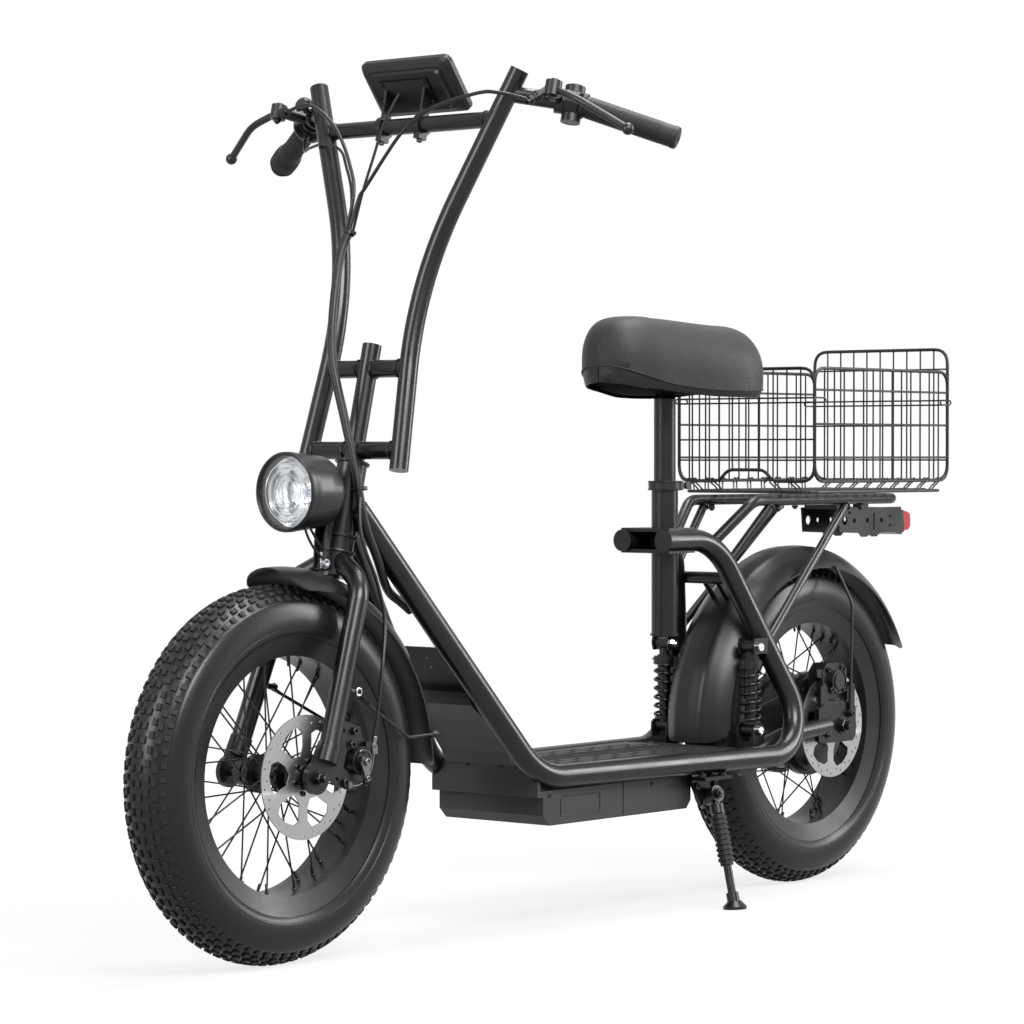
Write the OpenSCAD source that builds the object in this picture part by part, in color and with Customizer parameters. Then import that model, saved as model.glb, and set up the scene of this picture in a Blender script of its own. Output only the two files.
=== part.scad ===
/* [Stance] */
// distance between the two axles
wheelbase = 1152; // [1000:1300]
// angle at which the scooter leans on its side stand
lean = 3; // [0:0.5:8]
// angle of the steering axis back from upright
rake = 14; // [8:25]
// distance of the front axle ahead of the steering axis
fork_offset = 51.5; // [30:70]

/* [Wheels] */
// radius of both tyres out to the lug tips
tyre_r = 245; // [220:270]
// half width of both tyres
tyre_half = 47; // [35:60]
// radius of the arc across the tread
crown_r = 80; // [60:120]
// outer radius of the rim flanges
rim_r = 183; // [170:195]
// half width of the rims over the flanges
rim_half = 40; // [30:48]
// depth of the rims from flange to inner face
rim_depth = 30; // [24:36]
// spokes in each wheel
spokes = 36; // [24:4:40]
// radius of one spoke
spoke_r = 1.2; // [0.8:0.1:2]
// radius of both brake discs
disc_r = 80; // [70:100]
// thickness of both brake discs
disc_t = 1.8; // [1.5:0.1:2.5]
// distance of the front brake disc from the middle
front_disc_y = 57; // [50:70]
// distance of the rear brake disc from the middle
rear_disc_y = 71; // [60:80]
// radius of the hub motor's drum
motor_r = 79; // [60:100]

/* [Frame] */
// radius of the two frame loops' tube
loop_r = 16; // [12:22]
// radius of the head tube
head_r = 20; // [17:24]
// radius of the steering tube inside the head tube
steerer_r = 14.3; // [12:16]
// clearance of the steering tube in the head tube
steer_gap = 0.05; // [0.02:0.01:0.1]
// radius of the seat tube
seat_tube_r = 19.5; // [17:24]
// radius of the seat post
seat_post_r = 16; // [13:18]
// height of the battery box's floor above the ground
box_floor = 149; // [120:180]
// half width of the battery box
box_half = 94; // [80:110]

/* [Handlebar] */
// radius of the handlebar frame's tubes
bar_r = 12.7; // [11:16]
// radius of the display's crossbar
display_bar_r = 11; // [9:13]
// radius of the grips
grip_r = 14.5; // [12:18]

/* [Body] */
// gap between the tyres and the fenders' outer face
fender_gap = 27; // [20:40]
// half width of the front fender
front_fender_half = 51; // [45:60]
// half width of the rear fender
rear_fender_half = 58; // [50:65]
// outer radius of the headlight
lamp_r = 52; // [40:60]
// half width of the basket
basket_half = 129; // [100:160]
// height of the basket's floor above the ground
basket_floor = 597; // [560:640]
// height of the basket's front and sides
basket_h = 191; // [120:240]
// height of the seat's top above the ground
seat_top = 852; // [780:900]

/* [Hidden] */
$fn = 48;
weld = 0.03;
ax = wheelbase / 2;
front_x = ax - 576;
rear_x = 576 - ax;
rim_in = rim_r - rim_depth;
head_x = ax + (tyre_r * sin(rake) - fork_offset) / cos(rake);
axle_w = (tyre_r - fork_offset * sin(rake)) / cos(rake);
lift = crown_r * (1 - cos(lean));
shift = [15.5, -56.3];

black = [0.06, 0.06, 0.065];
rubber = [0.04, 0.04, 0.04];
steel = [0.75, 0.75, 0.76];
plastic = [0.09, 0.09, 0.095];

loop_pts = [[front_x + 434, 17, 585], [front_x + 153, 94, 216], [rear_x - 457, 128, 214],
  [rear_x - 322, 38, 531], [rear_x - 199, 38, 531]];
loop_bends = [0, 95, 70, 75, 0];
rack_pts = [[-336, 43, 541], [-392, 60, 588], [-772, 62, 588], [-772, -62, 588], [-392, -60, 588],
  [-336, -43, 541]];
rack_bends = [0, 40, 28, 28, 40, 0];
rack_r = 8;
upright_pts = [[0, 84, 655], [0, 61, 911], [0, 180, 1196]];
upright_bends = [0, 480, 0];
fork_pts = [[3, 12, 533], [14, 64, 500], [40, 80, axle_w + 28]];
fork_bends = [0, 46, 0];
stub_pts = [[0, 166, 1164], [-56, 240, 1163], [-123, 350, 1134]];
stand_top = [rear_x - 215, 119, 168];
stand_foot = [rear_x - 198, 168, 168 * tan(lean)];
fold = [0.1275, 0.9439, 0.3045];

function unit(v) = v / norm(v);
function flip(p) = [p.x, -p.y, p.z];
function turn_at(p, i) = acos(unit(p[i] - p[i - 1]) * unit(p[i + 1] - p[i]));
function trim_at(p, b, i) = (i == 0 || i == len(p) - 1) ? 0 : b[i] * tan(turn_at(p, i) / 2);

module on_frame() {
  translate([shift.x, shift.y, lift]) rotate([-lean, 0, 0]) children();
}

module on_steering() {
  on_frame() translate([head_x, 0, 0]) rotate([0, -rake, 0]) children();
}

module on_wheel(x) {
  on_frame() translate([x, 0, tyre_r]) rotate([-90, 0, 0]) children();
}

module both_sides() {
  children();
  mirror([0, 1, 0]) children();
}

module rod(a, b, r) {
  d = b - a;
  translate(a) rotate([0, acos(d.z / norm(d)), atan2(d.y, d.x)]) cylinder(h = norm(d), r = r);
}

module bend_at(p, b, i, r) {
  u = unit(p[i] - p[i - 1]);
  v = unit(p[i + 1] - p[i]);
  n = unit(cross(u, v));
  m = cross(n, u);
  c = p[i] - u * trim_at(p, b, i) + m * b[i];
  multmatrix([[-m.x, u.x, n.x, c.x], [-m.y, u.y, n.y, c.y], [-m.z, u.z, n.z, c.z], [0, 0, 0, 1]])
    rotate_extrude(angle = turn_at(p, i)) translate([b[i], 0]) circle(r = r);
}

module bent_tube(p, b, r) {
  last = len(p) - 1;
  for (i = [0:last - 1]) {
    u = unit(p[i + 1] - p[i]);
    rod(p[i] + u * (trim_at(p, b, i) - (i > 0 ? 1 : 0)),
      p[i + 1] - u * (trim_at(p, b, i + 1) - (i < last - 1 ? 1 : 0)), r + weld);
  }
  for (i = [1:last - 1]) bend_at(p, b, i, r);
}

module ring(r1, r2, h) {
  difference() {
    cylinder(h = h, r = r2);
    translate([0, 0, -1]) cylinder(h = h + 2, r = r1);
  }
}

function sweep_frame(p, i, ref) = let(
  t = unit(p[min(i + 1, len(p) - 1)] - p[max(i - 1, 0)]),
  a = unit(cross(t, ref)))
  [a, cross(t, a)];

module swept(p, r, sides = 8, ref = [0, 0, 1]) {
  n = len(p);
  pts = [for (i = [0:n - 1]) let(f = sweep_frame(p, i, ref)) for (k = [0:sides - 1])
    p[i] + r * (cos(360 * k / sides) * f[0] + sin(360 * k / sides) * f[1])];
  walls = [for (i = [0:n - 2]) for (k = [0:sides - 1])
    let(k2 = (k + 1) % sides, a = i * sides) [a + k2, a + k, a + sides + k, a + sides + k2]];
  first = [for (k = [0:sides - 1]) k];
  last = [for (k = [0:sides - 1]) n * sides - 1 - k];
  polyhedron(pts, concat(walls, [first, last]));
}

module skin(rings) {
  n = len(rings);
  s = len(rings[0]);
  pts = [for (q = rings) for (v = q) v];
  walls = [for (i = [0:n - 2]) for (k = [0:s - 1])
    let(k2 = (k + 1) % s, a = i * s) [a + k, a + k2, a + s + k2, a + s + k]];
  first = [for (k = [0:s - 1]) s - 1 - k];
  last = [for (k = [0:s - 1]) (n - 1) * s + k];
  polyhedron(pts, concat(walls, [first, last]));
}

module tyre_profile() {
  difference() {
    intersection() {
      translate([rim_r + 15, 0]) circle(r = tyre_half);
      translate([tyre_r - crown_r, 0]) circle(r = crown_r);
    }
    translate([0, -60]) square([rim_r - 5, 120]);
    for (s = [-1, 1]) translate([rim_r - 20, s * (rim_half + 15.8) - 20]) square([20.3, 40]);
  }
}

module tyre() {
  rotate_extrude() tyre_profile();
}

module rim() {
  rotate_extrude() polygon([[rim_in, -20], [rim_in + 1, -rim_half + 8], [rim_r - 3, -rim_half],
    [rim_r, -rim_half + 2], [rim_r - 5, -rim_half + 4], [rim_r - 5, rim_half - 4],
    [rim_r, rim_half - 2], [rim_r - 3, rim_half], [rim_in + 1, rim_half - 8], [rim_in, 20]]);
}

module spoke_set(flange_r, flange_z, cross_angle) {
  n = spokes / 4;
  step = 360 / n;
  intersection() {
    ring(flange_r, rim_in, 120);
    translate([0, 0, 0]) union() {
      for (i = [0:n - 1]) rotate(i * step) {
        spoke_line(flange_r, flange_z + 2, 0, cross_angle, 9);
        spoke_line(flange_r, flange_z - 2, step / 2, -cross_angle, 4);
      }
    }
  }
}

module spoke_line(flange_r, z1, start, swing, z2) {
  a = [(flange_r - 3) * cos(start), (flange_r - 3) * sin(start), z1];
  b = [(rim_in + 3) * cos(start + swing), (rim_in + 3) * sin(start + swing), z2];
  rod_fine(a, b, spoke_r);
}

module rod_fine(a, b, r) {
  d = b - a;
  translate(a) rotate([0, acos(d.z / norm(d)), atan2(d.y, d.x)]) cylinder(h = norm(d), r = r, $fn = 6);
}

module all_spokes(flange_r, flange_z, cross_angle) {
  spoke_set(flange_r, flange_z, cross_angle);
  rotate(10) mirror([0, 0, 1]) spoke_set(flange_r, flange_z, cross_angle);
}

module disc(bore) {
  difference() {
    cylinder(h = disc_t, r = disc_r);
    translate([0, 0, -1]) cylinder(h = disc_t + 2, r = bore);
    for (i = [0:5]) rotate(i * 60) translate([0, 0, -1]) linear_extrude(disc_t + 2)
      polygon([[28, -6], [36, -16], [50, -24], [62, -21], [66, -6], [62, 12], [54, 18], [44, 12], [34, 8]]);
    for (i = [0:17]) rotate(i * 20) for (q = [[70, 0], [75, 8]]) rotate(q[1]) translate([q[0], 0, -1])
      cylinder(h = disc_t + 2, r = 1.6, $fn = 6);
  }
}

module front_tyre() {
  color(rubber) on_wheel(ax) tyre();
}

module rear_tyre() {
  color(rubber) on_wheel(-ax) tyre();
}

module front_rim() {
  color(black) on_wheel(ax) rim();
}

module rear_rim() {
  color(black) on_wheel(-ax) rim();
}

module front_spokes() {
  color(black) on_wheel(ax) all_spokes(25, 26, 62);
}

module rear_spokes() {
  color(black) on_wheel(-ax) all_spokes(motor_r, 27, 34);
}

module front_hub() {
  color(black) on_wheel(ax) difference() {
    union() {
      translate([0, 0, -55]) cylinder(h = 110, r = 14);
      translate([0, 0, -31]) cylinder(h = 10, r = 25);
      translate([0, 0, 21]) cylinder(h = 10, r = 25);
      translate([0, 0, -55]) cylinder(h = 12, r = 17);
      translate([0, 0, 43]) cylinder(h = front_disc_y - 43, r = 22);
      translate([0, 0, 43]) cylinder(h = front_disc_y - 43 + 6, r = 16.5);
    }
    translate([0, 0, -80]) cylinder(h = 160, r = 6.05);
  }
}

module hub_motor() {
  color(black) on_wheel(-ax) difference() {
    union() {
      translate([0, 0, -42]) cylinder(h = 84, r = motor_r - 6);
      translate([0, 0, -33]) cylinder(h = 12, r = motor_r);
      translate([0, 0, 21]) cylinder(h = 12, r = motor_r);
      translate([0, 0, -50]) cylinder(h = 8, r1 = 40, r2 = motor_r - 6);
      translate([0, 0, 42]) cylinder(h = 8, r2 = 40, r1 = motor_r - 6);
      translate([0, 0, 50]) cylinder(h = rear_disc_y - 50, r = 24);
      translate([0, 0, 50]) cylinder(h = rear_disc_y - 50 + 6, r = 16.5);
      translate([0, 0, -64]) cylinder(h = 14, r = 20);
    }
    translate([0, 0, -120]) cylinder(h = 240, r = 7.05);
  }
}

module front_disc() {
  color(steel) on_wheel(ax) translate([0, 0, front_disc_y]) disc(16.5);
}

module rear_disc() {
  color(steel) on_wheel(-ax) translate([0, 0, rear_disc_y]) disc(16.5);
}

module front_axle() {
  color(steel) on_wheel(ax) {
    translate([0, 0, -86]) cylinder(h = 172, r = 6);
  }
}

module rear_axle() {
  color(steel) on_wheel(-ax) {
    translate([0, 0, -108]) cylinder(h = 216, r = 7);
  }
}

module dropout() {
  difference() {
    union() {
      rod([37.5, 78.8, axle_w + 47], [42, 80, axle_w + 22], 15);
      translate([fork_offset, 74, axle_w]) rotate([-90, 0, 0]) cylinder(h = 7, r = 21);
      translate([0, 0, axle_w]) plate_y([[28, 48], [31, -4], [50, -18], [70, -8], [62, 22], [55, 48]], 74, 7);
    }
    translate([fork_offset, 60, axle_w]) rotate([-90, 0, 0]) cylinder(h = 40, r = 6.02);
  }
}

module fork() {
  color(black) on_steering() {
    cylinder_between(512, 546, 21);
    cylinder_between(508.6, 513, 8);
    cylinder_between(540, 669, steerer_r);
    both_sides() {
      bent_tube(fork_pts, fork_bends, 13.5);
      dropout();
    }
    difference() {
      translate([0, 0, axle_w]) plate_y([[30, 82], [-14, 78], [-18, 66], [-2, 60], [4, 50], [6, 22],
        [-14, 12], [-26, 8], [-24, -2], [10, -4], [45, 10], [45, 60]], 74, 5);
      for (q = [[16, 68], [14, 6]]) translate([q.x, 70, axle_w + q.y])
        rotate([-90, 0, 0]) cylinder(h = 20, r = 2.6);
    }
  }
}

module cylinder_between(z1, z2, r) {
  translate([0, 0, z1]) cylinder(h = z2 - z1, r = r);
}

module arch(r_out, half, t, a1, a2, ridges = []) {
  rotate(a1) rotate_extrude(angle = a2 - a1) union() {
    difference() {
      intersection() {
        translate([r_out - half * 1.2, 0]) circle(r = half * 1.2);
        translate([r_out - 34, -half]) square([40, 2 * half]);
      }
      translate([r_out - half * 1.2, 0]) circle(r = half * 1.2 - t);
    }
    for (y = ridges) translate([r_out - half * 1.2 + sqrt(half * half * 1.44 - y * y) - 0.9, y])
      circle(r = 3, $fn = 24);
  }
}

module front_fender() {
  color(plastic) translate([-12, 0, -4.5]) on_wheel(ax) mirror([0, 1, 0])
    arch(tyre_r + fender_gap, front_fender_half, 2.5, 85.5, 180);
}

module rear_fender() {
  color(plastic) on_wheel(-ax) mirror([0, 1, 0])
    arch(tyre_r + fender_gap, rear_fender_half, 2.5, -3, 156, [-24, 0, 24]);
}

module front_fender_stay() {
  color(steel) on_front() both_sides() {
    bent_tube([[510.3, 74, 354], [375, 56, 284], [322.5, 53.4, 285]], [0, 20, 0], 2.2);
  }
}

module rear_fender_stay() {
  color(black) on_rear() both_sides() {
    bent_tube([[-592, 94.8, 262], [-598, 94.8, 430], [-604, 59.6, 486]], [0, 30, 0], 2.5);
    translate([-592, 92.15, 262]) rotate([-90, 0, 0]) cylinder(h = 5, r = 6);
  }
}

module front_caliper() {
  color(plastic) on_front() translate([497, front_disc_y + disc_t / 2, 262]) {
    difference() {
      plate_y([[-19, -18], [-12, -28], [10, -28], [15, -20], [15, 20], [8, 28], [-14, 28], [-19, 20]],
        -14, 30);
      translate([-2.5, -2, -40]) cube([60, 4, 80]);
    }
    plate_y([[-14, 24], [-8, 44], [8, 46], [13, 24], [13, -24], [18, -36], [2, -38], [-12, -24]], 10, 5.9);
    translate([-1, 15, 0]) rotate([-90, 0, 0]) cylinder(h = 10, r = 18);
    translate([-1, 24, 0]) rotate([-90, 0, 0]) cylinder(h = 4, r = 12);
    plate_y([[-31, 10], [-12, 4], [-12, 24], [-31, 22]], 14, 9);
    rod([-27, 19, 14], [-34.6, 21.1, 51.3], 3.8);
  }
}

module rear_caliper() {
  color(plastic) on_rear() translate([-567, rear_disc_y + disc_t / 2, 306]) {
    difference() {
      plate_y([[-32, -10], [-24, -20], [22, -20], [32, -8], [32, 22], [20, 34], [-20, 34], [-32, 22]],
        -14, 26);
      translate([-40, -2, -30]) cube([80, 4, 52.5]);
    }
    translate([0, 11, 6]) rotate([-90, 0, 0]) cylinder(h = 9, r = 18);
    translate([0, 19, 6]) rotate([-90, 0, 0]) cylinder(h = 3, r = 12);
    plate_y([[24, 10], [44, 14], [46, 26], [24, 24]], 4, 7);
  }
}

module handlebar() {
  color(black) on_steering() {
    both_sides() {
      bent_tube(upright_pts, upright_bends, bar_r);
      bent_tube(stub_pts, [0, 60, 0], 11);
    }
    rod([0, -71, 793], [0, 71, 793], bar_r - 0.9);
    rod([0, -82, 682], [0, 82, 682], bar_r - 0.9);
    rod([0, -151, 1130], [0, 151, 1130], display_bar_r);
    cylinder_between(669.5, 826, bar_r + 0.1);
  }
}

module grips() {
  color(rubber) on_steering() both_sides() difference() {
    union() {
      rod([-59, 245, 1161.7], [-127, 357, 1132.2], grip_r);
      rod([-59, 245, 1161.7], [-61.5, 249, 1160.6], grip_r + 2.5);
    }
    stub(0.04);
  }
}

module brake_levers() {
  color(plastic) on_steering() for (k = [0, 1]) mirror([0, k, 0]) difference() {
    union() {
      rod([-38, 216.4, 1163.3], [-45, 225.4, 1163.1], 16);
      rod([-40, 222, 1163.2], [4, 240, 1164], 8);
      translate([4, 246, 1154]) cylinder(h = 20, r = 11);
      bent_tube([[4, 246, 1164], [6, 292, 1146], [-27, 355, 1112.6]], [0, 70, 0], 5);
      translate([-27, 355, 1112.6]) sphere(r = 8);
      rod([4, 240, 1164], adjusters[k], 6);
    }
    stub();
  }
}

module switch_pod() {
  color(plastic) on_steering() difference() {
    union() {
      rod([-46.5, 227.4, 1163], [-56.5, 241, 1162], 19);
      translate([-52.8, 234.5, 1168]) cylinder(h = 18, r = 13.5);
      translate([-52.8, 234.5, 1137]) cylinder(h = 20, r = 13);
    }
    stub();
    rod([-31, 207.4, 1163.5], [-45.2, 225.7, 1163.1], 16.4);
    rod([-40, 222, 1163.2], [4, 240, 1164], 8.4);
    rod([-58.8, 244.7, 1161.8], [-127, 357, 1132.2], 17.5);
  }
}

module throttle() {
  color(plastic) on_steering() mirror([0, 1, 0]) difference() {
    union() {
      rod([-46.5, 227.4, 1163], [-56.5, 241, 1162], 18);
      rod([-53, 236.3, 1162.6], [-56, 240.4, 1162], 24);
      rod([-51, 234, 1163], [-46, 237, 1139], 6);
    }
    stub();
  }
}

module bell() {
  color(plastic) on_steering() mirror([0, 1, 0]) difference() {
    union() {
      rod([-26.5, 201.1, 1163.6], [-30.8, 206.6, 1163.6], 15);
      rod([-28.5, 203.8, 1163.6], [-9, 207, 1169.8], 4.2);
      translate([-12, 207, 1168]) rotate([0, 55, 0]) {
        cylinder(h = 12, r = 5);
        translate([0, 0, 9]) rotate_extrude()
          polygon([[0, 0], [12.5, 0], [12.5, 3], [10, 8], [6, 11], [0, 12]]);
      }
    }
    stub();
  }
}

module display_bracket() {
  color(plastic) on_steering() {
    for (y = [-50, 18]) difference() {
      union() {
        translate([0, y, 1130]) rotate([-90, 0, 0]) cylinder(h = 10, r = 15);
        translate([-8, y, 1110]) cube([16, 10, 12]);
        plate_y([[-8, 1138], [8, 1138], [8, 1160], [9, 1180.5], [-9, 1166]], y + 3, 4);
      }
      translate([0, y - 1, 1130]) rotate([-90, 0, 0]) cylinder(h = 12, r = display_bar_r + 0.02);
    }
  }
  color(plastic) on_front() translate([290, -8, 1150]) rotate([0, -53, 0]) translate([-20, -46, -15.1])
    cube([40, 86, 3]);
}

module display() {
  color(plastic) on_front() translate([290, -8, 1150]) rotate([0, -53, 0])
    skin([flat_ring(40, 76.5, 9, 10), flat_ring(42.5, 79, 10, 8), flat_ring(42.5, 79, 10, 1),
      flat_ring(40, 76, 12, -3), flat_ring(33, 68, 12, -7), flat_ring(31, 62, 9, -7),
      flat_ring(29, 60, 8, -12)]);
}

module headlight_body() {
  color(plastic) on_front() translate([470, 0, 608]) rotate([0, 90, 0]) rotate_extrude()
    polygon([[0, 0], [20, 0.5], [32, 5], [41, 14], [44, 16], [45, 19], [lamp_r - 5, 22], [lamp_r - 3, 40],
      [lamp_r - 1, 66], [lamp_r - 1, 70], [lamp_r, 72], [lamp_r, 81], [lamp_r - 2, 83], [lamp_r - 4, 83],
      [lamp_r - 4, 79.5], [lamp_r - 5, 66], [lamp_r - 9, 40], [34, 16], [0, 10]]);
}

module headlight_reflector() {
  color(steel) on_front() translate([470, 0, 608]) rotate([0, 90, 0]) rotate_extrude()
    polygon([[0, 20], [24, 24], [38, 44], [lamp_r - 5.8, 62], [lamp_r - 5.8, 64], [36, 46], [22, 30],
      [14, 29],
      [14, 56], [12, 60], [0, 62]]);
}

module headlight_lens() {
  color([0.8, 0.85, 0.9, 0.4]) on_front() translate([470, 0, 608]) rotate([0, 90, 0])
    translate([0, 0, 76]) cylinder(h = 3, r = lamp_r - 4.6);
}

module main_frame() {
  color(black) on_frame() difference() {
    union() {
      loops();
      translate([head_x, 0, 0]) rotate([0, -rake, 0]) cylinder_between(547, 663, head_r);
      translate([rear_x, 0, 0]) {
        translate([-252, 0, 391]) cylinder(h = 220, r = seat_tube_r);
        translate([-252, 0, 391]) cylinder(h = 3, r = seat_tube_r + 2);
        for (z = [513, 544]) {
          translate([-267, -44, z]) cube([62, 88, 5.5]);
          translate([-252, 0, z]) cylinder(h = 5.5, r = 24);
        }
        rod([-360, -58, 473], [-360, 58, 473], 9);
        for (y = [-12, 12]) rod([-360, y, 473], [-389.2, y, 442.2], 4);
        rod([-262, -116, 210], [-262, 116, 210], 9);
        both_sides() {
          translate([-311, 105, 206]) rotate([90, 0, 0]) cylinder(h = 5.7, r = 21);
          shock_mount(363, 386);
        }
      }
    }
    translate([head_x, 0, 0]) rotate([0, -rake, 0]) cylinder_between(540, 670, steerer_r + steer_gap);
    translate([rear_x - 252, 0, 400]) cylinder(h = 300, r = seat_post_r);
  }
}

module front_cover() {
  color(plastic) on_frame() difference() {
    translate([front_x, 0, 0]) plate_y([[285, 397], [246, 341], [254, 336], [257, 328], [254, 319],
      [243, 311], [218, 294], [196, 272], [178, 250], [168, 232], [160, 232], [170, 252], [188, 276],
      [210, 299],
      [236, 318],
      [236, 340], [277, 397]], -60, 120);
    loops(0.05);
    for (p = [[274, 382], [266, 369]]) translate([front_x + p[0], -2, p[1]])
      rotate([0, 125, 0]) cylinder(h = 20, r = 3, center = true);
  }
}

module battery_box() {
  color(plastic) on_frame() difference() {
    union() {
      translate([0, 0, box_floor]) plate_y([[rear_x - 191, 12], [rear_x - 181, 0], [front_x + 128, 0],
        [front_x + 142, 14], [front_x + 142, 48], [rear_x - 191, 48]], -box_half, 2 * box_half);
      translate([front_x + 142, -box_half - 1.5, 189]) cube([14, 2 * box_half + 3, 7.9]);
      translate([front_x + 150, -box_half - 1.5, 189]) cube([6, 2 * box_half + 3, 46]);
    }
    loops(0.4);
  }
}

module deck_plate() {
  color(black) on_frame() difference() {
    translate([0, 0, 219]) linear_extrude(4)
      polygon([[front_x + 110, -96], [front_x + 110, 96], [rear_x - 288, 118], [rear_x - 294, 112],
        [rear_x - 294, -112], [rear_x - 288, -118]]);
    loops(0.15);
  }
}

module deck_mat() {
  color(rubber) on_frame() difference() {
    translate([0, 0, 223]) linear_extrude(5)
      polygon([[front_x + 98, -84], [front_x + 105, -77], [front_x + 105, 77], [front_x + 98, 84],
        [rear_x - 284, 108], [rear_x - 292, 100], [rear_x - 292, -100], [rear_x - 284, -108]]);
    loops(1);
  }
}

module stand_bracket() {
  color(black) on_frame() difference() {
    union() {
      translate([rear_x, 0, 0]) {
        plate_y([[-243, 212], [-178, 212], [-181, 184], [-198, 158], [-230, 158], [-241, 184]], 100, 5);
        translate([-243, 100, 190]) cube([65, 30, 5]);
      }
      rod(stand_top - fold * 17, stand_top - fold * 8.6, 12);
    }
    loops(0.1);
    for (x = [-232, -190]) translate([rear_x + x, 95, 181]) rotate([-90, 0, 0]) cylinder(h = 20, r = 3);
  }
}

module seat_clamp() {
  color(plastic) on_rear() difference() {
    union() {
      translate([-252, 0, 604]) cylinder(h = 14, r = 24);
      translate([-286, -8, 604]) cube([16, 16, 14]);
      rod([-281, -13, 611], [-281, 15, 611], 4);
      translate([-284, 15, 606]) cube([42, 5, 10]);
    }
    translate([-252, 0, 600]) cylinder(h = 30, r = seat_post_r);
    translate([-252, 0, 600]) cylinder(h = 11.02, r = seat_tube_r + 0.05);
    translate([-290, -1.5, 600]) cube([30, 3, 30]);
  }
}

module seat_post() {
  color(black) on_rear() translate([-252, 0, 0]) {
    translate([0, 0, 420]) cylinder(h = 318, r = seat_post_r);
    translate([0, 0, 738]) cylinder(h = 12, r1 = seat_post_r, r2 = 12);
    translate([0, 0, 750]) cylinder(h = 2.5, r = 12);
  }
}

saddle = [[-102, 30, 764, 806, 762], [-112, 52, 760, 834, 752], [-130, 62, 757, 847, 746],
  [-160, 70, 756, 852, 742], [-200, 80, 756, 852, 741], [-250, 98, 757, 849, 742],
  [-300, 114, 758, 847, 744], [-345, 118, 760, 846, 746], [-380, 110, 764, 840, 750],
  [-400, 90, 768, 828, 756], [-408, 60, 772, 806, 762]];

function pad_ring(x, half, z0, z1) = [for (k = [0:31]) let(a = 360 * k / 32, c = cos(a), s = sin(a))
  [x, half * sign(c) * pow(abs(c), 0.7), z0 + (z1 - z0) * (s > 0 ? pow(s, 0.75) : 0)
    + (s < 0 ? s * 1 : 0)]];

module saddle_cushion() {
  color(rubber) on_rear() skin([for (q = saddle) pad_ring(q[0], q[1], q[2], q[3])]);
}

function base_ring(x, half, z0, z1) = [[x, half - 2, z1], [x, half - 7, z0], [x, half - 10, z0],
  [x, half - 6, z1 - 3], [x, -half + 6, z1 - 3], [x, -half + 10, z0], [x, -half + 7, z0], [x, -half + 2, z1]];

module saddle_base() {
  color(plastic) on_rear() skin([for (q = saddle) base_ring(q[0], q[1], q[4], q[2] - 1)]);
}

module swingarm() {
  color(black) on_rear() difference() {
    union() {
      both_sides() {
        bent_tube([[-311, 84, 206], [-430, 88, 238], [-540, 88, 246]], [0, 120, 0], 13);
        plate_y([[-514, 224], [-514, 272], [-530, 280], [-604, 280], [-612, 270], [-612, 228], [-604, 220],
          [-524, 220]], 84, 8);
        translate([-370, 65, 214]) cube([28, 30, 20]);
        for (y = [65, 92]) plate_y([[-370, 230], [-370, 254], [-365, 259], [-347, 259], [-342, 254],
          [-342, 230]], y, 3);
      }
      plate_y([[-612, 274], [-612, 306], [-600, 310], [-592, 300], [-592, 283], [-542, 283], [-542, 300],
        [-534, 310], [-522, 306], [-522, 270]], 84, 6);
      rod([-311, -99, 206], [-311, 99, 206], 14);
    }
    translate([-576, 130, 245]) rotate([90, 0, 0]) cylinder(h = 260, r = 7.02);
  }
}

module shocks() {
  color(black) on_rear() both_sides() translate([-356, 80, 0]) {
    translate([0, 0, 254]) cylinder(h = 112, r = 8);
    translate([0, 0, 296]) cylinder(h = 60, r = 10.5);
    translate([0, 0, 345]) cylinder(h = 9, r = 16);
    translate([0, -11, 250]) rotate([-90, 0, 0]) cylinder(h = 22, r = 9);
    translate([0, -11, 373]) rotate([-90, 0, 0]) cylinder(h = 22, r = 9);
    translate([0, 0, 259.5]) cylinder(h = 3, r = 15);
  }
}

function helix(x, y, z, r, turns, h) = [for (i = [0:turns * 10])
  [x + r * cos(i * 36), y + r * sin(i * 36), z + h * i / (turns * 10)]];

module shock_springs() {
  color(black) on_rear() both_sides() swept(helix(-356, 80, 265, 14.5, 6, 77), 2.2, 6);
}

module rack() {
  color(black) on_frame() difference() {
    translate([rear_x, 0, tyre_r - 245]) {
      bent_tube(rack_pts, rack_bends, rack_r);
      for (x = [-450, -560, -670]) translate([x, -60, 582]) cube([22, 120, 3]);
      both_sides() {
        rod([-432, 62, 582], [-350, 47, 500], 6.5);
        rod([-628, 62, 582], [-388, 88, 382], 6.5);
      }
    }
    loops(0.06);
  }
}

module grid(w, h, nx, nz, t, f) {
  difference() {
    square([w, h]);
    for (i = [0:nx - 1]) for (j = [0:nz - 1])
      translate([f + i * (w - 2 * f + t) / nx, f + j * (h - 2 * f + t) / nz])
        square([(w - 2 * f + t) / nx - t, (h - 2 * f + t) / nz - t]);
  }
}

module basket() {
  len_x = 366;
  color(black) on_rear() translate([-816, -basket_half, basket_floor]) {
    translate([3, 3, 0]) linear_extrude(3) grid(len_x - 6, 2 * basket_half - 6, 13, 7, 3, 5);
    for (y = [0, 2 * basket_half - 4]) translate([0, y + 4, 0]) rotate([90, 0, 0]) linear_extrude(4)
      grid(len_x, basket_h, 13, 4, 3, 6);
    translate([len_x - 4, 2, 0]) rotate([90, 0, 90]) linear_extrude(4) difference() {
      union() {
        grid(2 * basket_half - 4, basket_h, 9, 4, 3, 6);
        translate([basket_half - 2, 0]) polygon([[-56, 0], [56, 0], [38, 23], [-38, 23]]);
      }
      translate([basket_half - 2, 0]) polygon([[-50, -1], [50, -1], [34, 19], [-34, 19]]);
    }
    translate([0, 2, 0]) rotate([90, 0, 90]) linear_extrude(4)
      grid(2 * basket_half - 4, basket_h + 36, 9, 5, 3, 6);
  }
}

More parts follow.
